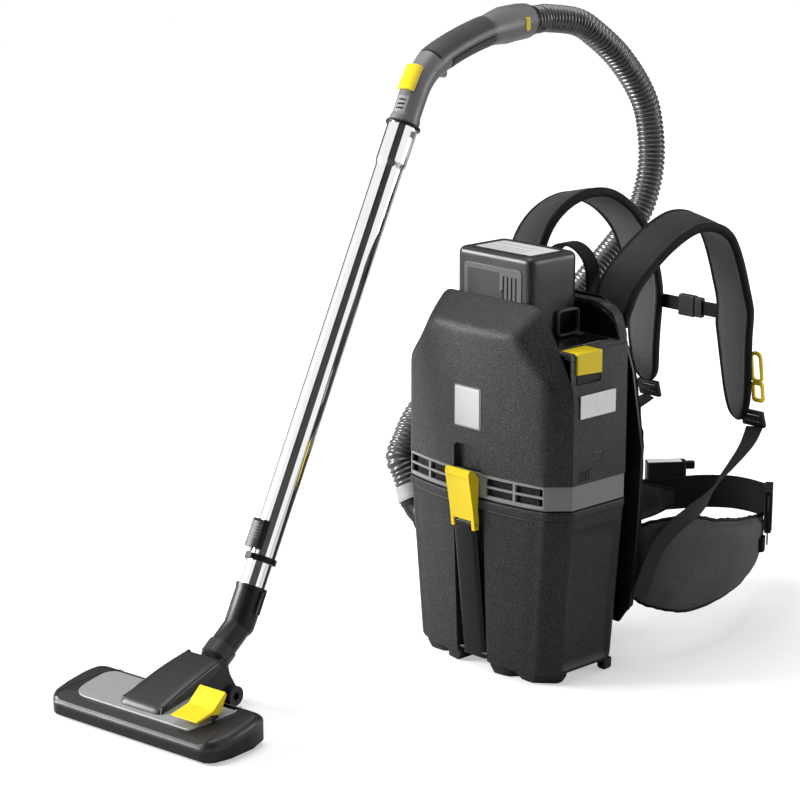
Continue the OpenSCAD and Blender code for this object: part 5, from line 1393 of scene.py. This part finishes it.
def make_webbing():
    parts = []
    for side, lock in LOCKS:
        route = [lock + Vector((1, 2.6, -14)), lock + Vector((18, -38, -33))]
        route = [Vector((side * x, y, z)) for x, y, z in (*route, *LOWER_ROUTE)]
        parts.append(ribbon(smooth(route, 10), 25, 2, Vector((side, 0.25, 0)),
                            last=Vector((0, -0.5, 0.88))))
    piece("lower_webbing", merge_parts(parts), "root", light_webbing, ["strap_webbing"])
    route = [Vector(p) for p in HIP_ROUTE] + [HIP_BUCKLE - 34 * HIP_ALONG, HIP_BUCKLE - 26.3 * HIP_ALONG]
    piece("belt_webbing", ribbon(smooth(route, 6), 50, 2, UP), "root", webbing, ["hip_webbing"])

    def straight(start, step):
        return [start + step * (k / 6) for k in range(7)]

    # Straight ends at the buckles; the ones beyond a buckle go with its clip, just over the fixed ones
    chest = Vector((0, STERNUM_Y, STERNUM_Z))
    piece("chest_webbing", ribbon(straight(chest - 72 * ACROSS, 49 * ACROSS), 20, 2, UP), "root",
          webbing, ["sternum_strap"])
    piece("chest_webbing_right", ribbon(straight(chest + 20 * ACROSS, 52 * ACROSS), 20.3, 2.3, UP),
          "chest_clip", webbing)
    line = straight(HIP_BUCKLE + 25 * HIP_ALONG, 73.4 * HIP_ALONG)
    piece("belt_webbing_right", ribbon(line, 50.3, 2.3, UP), "belt_clip", webbing)
    loop = [KEEPER + KEEPER_ALONG * a + KEEPER_OUT * b for a, b in KEEPER_LOOP]
    piece("keeper", ribbon(smooth(loop, 4), 20, 1.8, UP), "root", webbing)


def make_harness():
    make_shoulder_strap(-1, "left_strap", "left_shoulder_strap")
    make_shoulder_strap(1, "right_strap", "right_shoulder_strap")
    make_back_pad()
    refine("back_plate", "harness_plate", black_plastic, 0.8)
    make_wing(-1, "left_wing", "left_hip_wing")
    make_wing(1, "right_wing", "right_hip_wing")
    make_haul_loop()
    make_webbing()
    refine_all(("ladder_locks", "web_locks", black_plastic, 0.8),
               ("strap_hook", "hook", yellow_plastic, 0.7),
               ("sternum_socket", "chest_socket", black_plastic, 1.2, 3),
               ("hip_socket", "belt_socket", black_plastic, 1.6, 3),
               ("sternum_clip", "chest_prongs", black_plastic, 1.0, 3),
               ("hip_clip", "belt_prongs", black_plastic, 1.2, 3))


make_harness()


# ---------- control unit ----------

refine_all(("control_case", "control_body", black_plastic, 1.2, 3),
           ("power_key", "key_power", yellow_plastic, 0.8, 3),
           ("eco_key", "key_eco", green_plastic, 0.8, 3))
UNIT_FACE = (Matrix.Translation(vec(-93.2, 418.1, 132)) @ Matrix.Rotation(math.radians(52.5), 4, "Z")
             @ Matrix.Translation(vec(-2, 11, 36)) @ Matrix.Rotation(math.radians(-90), 4, "X"))
piece("unit_strip", turned(patch(-25, 25, -8, 8, 0.5, 2), UNIT_FACE), "root", label_white)


# ---------- wand ----------

def turned_rings(profile, sides):
    """Rings round the wand's axis; profile lists (s, radius), s along the axis."""
    beside = ALONG_WAND.cross(ACROSS)
    return [[to_pack(wand_point(s) + (ACROSS * c + beside * d) * r) * MM for c, d in circle(sides)]
            for s, r in profile]


def turned_pipe(profile):
    """Hollow part round the wand's axis; its profile goes up outside and down the bore."""
    sides = 96
    vertices, faces, uvs = loft(turned_rings(profile, sides), cap=False)
    last = (len(profile) - 1) * sides
    for i in range(sides):
        k = (i + 1) % sides
        faces.append((last + i, last + k, k, i))
        uvs.append([(0, 0)] * 4)
    return vertices, faces, uvs


def make_tubes():
    """Chrome tubes: the outer one widens to the handle's socket, the inner one has catch dimples."""
    top, wide = COLLAR_S - 0.1, COLLAR_S - 55
    outer = [(RING_S, 18.2), (RING_S + 0.5, 18.7), (RING_S + 1.2, 18.8), (200, 18.8), (400, 18.8),
             (wide - 8, 18.8), (wide - 6, 18.95), (wide - 3, 19.8), (wide - 1, 20.5), (wide + 1, 20.8),
             (wide + 30, 20.8), (top - 22, 20.8), (top - 3, 20.8), (top - 0.6, 20.75), (top, 20.3),
             (top, 19.3), (COLLAR_S - 50, 19.3), (COLLAR_S - 50, 17.56), (300, 17.56), (RING_S, 17.56)]
    tube = piece("upper_tube", turned_pipe(outer), body_of("outer_tube"), chrome_tube, ["outer_tube"],
                 sharp=32)
    # Window in the tube's right side, just below the handle's lip
    back = Vector((0, math.sin(WAND), -math.cos(WAND)))
    window = [[to_pack(wand_point(COLLAR_S - s) + ACROSS * x + back * y) * MM
               for x, y in ((17.8, -4.5), (28, -4.5), (28, 4.5), (17.8, 4.5))] for s in (17.5, 7.5)]
    cut(tube, loft(window))
    refine("inner_tube", "lower_tube", chrome_tube, 0, sharp=32)


WINDOW_D, WINDOW_REACH = 23, 40
LIP_PROFILE = ((-3.5, 21.0), (-3.5, 23.2), (-2.5, 24.0), (-0.5, 24.0), (0.6, 23.2), (0.8, 20.8))


def make_wand():
    make_tubes()
    refine("tube_ring", "tube_collar", black_plastic, 0.8, 3)
    refine("tube_release", "release_slide", neck_plastic, 0.8, 3, slot="handle_plastic")
    refine("wand_handle", "handle_shell", handle_plastic, 0)
    window = to_pack(grip_point(WINDOW_D))
    refine("handle_inserts", "grip_inserts", grip_rubber, 0,
           keep=lambda centre: (centre - window).length > WINDOW_REACH)
    refine("handle_inserts", "air_window", window_plastic, 0.4, nodes=[],
           keep=lambda centre: (centre - window).length <= WINDOW_REACH)
    # Black lip where the handle sits on the tube
    rings = turned_rings([(COLLAR_S + s, r) for s, r in LIP_PROFILE], 48)
    piece("handle_lip", loft(rings, cap=False), body_of("wand_handle"), black_plastic, sharp=50)
    refine_all(("bypass_slider", "air_slide", yellow_plastic, 0.9, 3),
               ("hose_button", "hose_key", yellow_plastic, 0.8, 3),
               ("neck_elbow", "neck_bend", neck_plastic, 0.8, 3, 35),
               ("neck_knuckle", "knuckle_joint", tool_plastic, 0.8, 3, 35))


make_wand()


# ---------- floor tool ----------

TOOL_HW, TOOL_HD, TOOL_MID = 146, 51, 50
SHOULDER = 10
SKIRT_Z0, SKIRT_Z1 = 5, 6.2
TRIM_HW, TRIM_HD = 112, 35


def tool_top(y):
    """Height of the floor tool's upper side."""
    return lookup(y, [(0, 20), (3, 26), (10, 30), (86, 41), (95, 40), (101, 38)])


def tool_wall(y):
    """Height where the tool's outer wall ends and its shoulder begins."""
    return lookup(y, [(-1, 19), (12, 21), (86, 31.5), (101, 31)])


def in_tool(rings):
    return [[to_pack(p) * MM for p in ring] for ring in rings]


def tool_piece(name, rings, material, nodes=(), **options):
    return piece(name, loft(in_tool(rings)), "floor_tool", material, nodes, **options)


def cut_slot(obj, corners, z0, z1):
    """The pedal's slot: a rounded hole between the two heights."""
    slot = round_box(*corners, 3, 1)
    cut(obj, loft(in_tool([[Vector((p.x, p.y, z)) for p in slot] for z in (z0, z1)])))


def make_tool_shell():
    """Skirt with a rounded shoulder all round and a sloping upper side."""
    corners = [(-126, -1), (126, -1), (140, 10), (146, 34), (146, 74), (138, 101), (-138, 101),
               (-146, 74), (-146, 34), (-140, 10)]
    outline = round_outline(corners, [7, 7, 9, 14, 14, 8, 8, 14, 14, 9], [24, 2, 4, 8, 3, 24, 3, 8, 4, 2])

    def ring(inset, height):
        """The outline drawn in; height(y of the outline, own y) gives z."""
        shape = []
        for p in outline:
            # The shoulder is narrower along the front edge
            own = inset * (lookup(p.y, [(0, 0.3), (26, 1)]) if inset <= SHOULDER else 1)
            x, y = p.x * (1 - own / TOOL_HW), TOOL_MID + (p.y - TOOL_MID) * (1 - own / TOOL_HD)
            shape.append(Vector((x, y, height(p.y, y))))
        return shape

    def shoulder(inset):
        share = math.sqrt(1 - (1 - inset / SHOULDER) ** 2)
        return ring(inset, lambda y0, y: tool_wall(y0) + (tool_top(y) - tool_wall(y0)) * share)

    rings = [ring(inset, lambda y0, y: SKIRT_Z0) for inset in (4, 1)]
    rings.append(ring(0, lambda y0, y: SKIRT_Z1))
    rings += [ring(0, lambda y0, y, k=k: SKIRT_Z1 + (tool_wall(y0) - SKIRT_Z1) * k) for k in (0.4, 0.8)]
    skirt = (len(rings) - 1) * len(outline)
    rings += [shoulder(inset) for inset in (0, 0.35, 1.2, 2.6, 4.4, 7, SHOULDER)]
    rings += [ring(inset, lambda y0, y: tool_top(y)) for inset in (20, 34, 46)]
    # The walls below the shoulder take the darker copy as painted shade; the shoulder and top take
    # tool_plastic
    shell = tool_piece("tool_shell", rings, (shade_and_seam_plastic, tool_plastic), ["head_shell"], sharp=50,
                       pick=lambda face: int(face >= skirt))
    cut_slot(shell, (81, 107, 80, 90), 33, 60)
    # Joints of the two end caps
    cap_edge = ((100, 99), (113, 78), (122, 50), (127, 24), (129, 3))
    for side in (-1, 1):
        line = smooth([(side * x, y, 0) for x, y in cap_edge], 8)
        seam = [to_pack((p.x, p.y, tool_top(p.y) + 0.05)) for p in line]
        piece("tool_seam_%d" % (side + 1), bead(seam, 0.55, 6), "floor_tool", shade_and_seam_plastic)
    for x in (64, 100):
        ear = [[Vector((x + u, TOOL_MID + v, z)) for u, v in ((0, -w), (3, -w), (3, w), (0, w))]
               for z, w in ((34, 5), (44, 5), (46.6, 3.6), (47.8, 1.4))]
        tool_piece("pedal_ear_%d" % x, ear, tool_plastic)


def make_tool_trim():
    """Silver plate on the upper side: rounded at its left end, swept at its right."""
    outline = round_outline([(-TRIM_HW, 15.5), (93, 15.5), (113, 85), (-TRIM_HW, 85)], [27, 8, 12, 20],
                            [26, 10, 26, 2])
    rings = []
    for proud, inset in ((-0.6, 0), (1.0, 0), (1.35, 0.3), (1.5, 0.8), (1.5, 10), (1.5, 24), (1.5, 33)):
        ring = []
        for p in outline:
            x, y = p.x * (1 - inset / TRIM_HW), TOOL_MID + (p.y - TOOL_MID) * (1 - inset / TRIM_HD)
            ring.append(Vector((x, y, tool_top(y) + proud)))
        rings.append(ring)
    trim = tool_piece("tool_trim", rings, trim_silver, ["head_trim"], sharp=45)
    cut_slot(trim, (80, 108, 79.5, 91), 30, 60)


# Sections of the joint's cowl: (y, half width, height, depth of its sides)
COWL = ((22.6, 27, 31, 5), (23.4, 31, 34.5, 10), (25, 33, 37.5, 14), (28, 34.2, 41, 17), (33, 34.6, 44, 18),
        (45, 34.6, 48.4, 18), (60, 34.4, 53.4, 18), (80, 34, 59.4, 18), (100, 33.2, 64.4, 17),
        (118, 32, 68.4, 16), (130, 31, 70.8, 15), (136, 30.4, 71.8, 12), (138, 29.8, 71.2, 8),
        (138.6, 29, 69.8, 4))


def make_joint_cowl():
    """Arched cowl over the joint housing, with a rounded lip in front."""
    rings = []
    for y, w, top, deep in COWL:
        ring = []
        for k in range(-12, 13):
            a = math.radians(7.5 * k)
            c, d = math.sin(a), math.cos(a)
            drop = deep * 0.62 * (1 - abs(d) ** 0.42)
            ring.append(Vector((w * math.copysign(abs(c) ** 0.3, c), y, top - drop)))
        ring += [Vector((w * q, y, top - deep)) for q in (1, 0.4, -0.4, -1)]
        rings.append(ring[::-1])
    tool_piece("joint_cowl", rings, tool_plastic)


PEDAL_Z = 44


def make_pedal():
    """Two flat treads that meet at a crisp bend, with a web below."""
    profile = [(-35, 1.2), (-34.4, -1), (-8, 1.6), (2, -1), (9, 1), (14.5, 12), (19.4, 20.4), (17, 24.4),
               (-4.5, 6.8)]
    rings = [[Vector((x, TOOL_MID + y, PEDAL_Z + z)) for y, z in profile] for x in (62, 105)]
    pedal = piece("foot_pedal_plate", loft(in_tool(rings)), body_of("pedal"), yellow_plastic, ["pedal"])
    soften(pedal, 0.9, 3, 20, 25)


def make_floor_tool():
    make_tool_shell()
    make_tool_trim()
    refine("joint_housing", "tool_joint", neck_plastic, 1.6, 3, 20)
    make_joint_cowl()
    refine("head_sole", "tool_sole", black_plastic, 0.8)
    refine("bristle_strips", "bristles", bristle, 0.3)
    make_pedal()
    refine("filter_bag", "bag", fleece, 6, 4, 15)


make_floor_tool()


# ---------- studio ----------

WHITE = (1, 1, 1, 1)
FLOOR_GLOW, FILL_LIGHT = 0.45, 0.1
FADE_FROM, FADE_TO = 0.7, 2.2
LIGHTS_AIM = (-0.05, -0.1, 0.35)


def stage_plane(name, centre, facing, size, material, camera=True):
    """Rectangle in the studio, not part of the object."""
    w, h = size[0] / 2, size[1] / 2
    mesh = bpy.data.meshes.new(name)
    mesh.from_pydata([(-w, -h, 0), (w, -h, 0), (w, h, 0), (-w, h, 0)], [], [(0, 1, 2, 3)])
    mesh.materials.append(material)
    obj = add_object(name, mesh)
    obj.location = centre
    obj.rotation_euler = Vector(facing).to_track_quat("Z", "Y").to_euler()
    if not camera:
        obj.visible_camera = False
        obj.visible_diffuse = False
        obj.visible_shadow = False
        obj.visible_transmission = False


def floor_material():
    """Pale floor that shows the shadows near the object and fades to white further out."""
    material = bpy.data.materials.new("floor")
    nodes = Nodes(material)
    where = nodes.add("TexCoord").outputs["Object"]
    far = nodes.add("VectorMath", {0: where}, operation="LENGTH").outputs["Value"]
    fade = nodes.spread(far, FLOOR_GLOW, 1.0, FADE_FROM, FADE_TO, "SMOOTHSTEP")
    share = nodes.math("MULTIPLY", nodes.add("LightPath").outputs["Is Camera Ray"], fade)
    glow = nodes.add("Emission", {"Color": WHITE, "Strength": share}).outputs[0]
    diffuse = nodes.add("BsdfDiffuse", {"Color": (0.8, 0.8, 0.8, 1)}).outputs[0]
    both = nodes.add("AddShader", {0: diffuse, 1: glow}).outputs[0]
    nodes.add("OutputMaterial", {"Surface": both})
    return material


def softbox(name, location, size, power):
    data = bpy.data.lights.new(name, "AREA")
    data.shape = "RECTANGLE"
    data.size, data.size_y = size
    data.energy = power
    obj = add_object(name, data)
    obj.location = location
    obj.rotation_euler = (Vector(LIGHTS_AIM) - Vector(location)).to_track_quat("-Z", "Y").to_euler()


def make_world():
    """White to the camera, in reflections and through glass; a faint fill for the rest."""
    world = bpy.data.worlds.new("studio")
    scene.world = world
    nodes = Nodes(world)
    seen = nodes.add("Background", {"Color": WHITE, "Strength": 1.0}).outputs[0]
    fill = nodes.add("Background", {"Color": WHITE, "Strength": FILL_LIGHT}).outputs[0]
    path = nodes.add("LightPath")
    total = path.outputs["Is Camera Ray"]
    for name in ("Is Glossy Ray", "Is Transmission Ray"):
        total = nodes.math("ADD", total, path.outputs[name], True)
    mix = nodes.add("MixShader", {0: total, 1: fill, 2: seen}).outputs[0]
    nodes.add("OutputWorld", {"Surface": mix})


def make_studio():
    make_world()
    stage_plane("studio_floor", (0, 0, -0.0006), (0, 0, 1), (14, 14), floor_material())
    softbox("key", (-2.5, -2.5, 1.35), (1.7, 1.4), 235)
    softbox("side", (2.5, 2.9, 1.0), (1.5, 1.7), 55)
    softbox("top", (-0.4, -0.2, 3.4), (2.2, 2.2), 68)
    values = {"Base Color": (0.1, 0.1, 0.1, 1), "Roughness": 1.0, "Specular IOR Level": 0.0}
    flag = Shader("flag", **values).material
    stage_plane("dark_flag", (3.0, -3.1, 2.0), (-1, 1, 0), (5.2, 7.5), flag, camera=False)
    stage_plane("back_flag", (-2.2, 2.2, 0.9), (1, -1, 0), (6.5, 4.6), flag, camera=False)
    scene.view_settings.view_transform = "Standard"


make_studio()
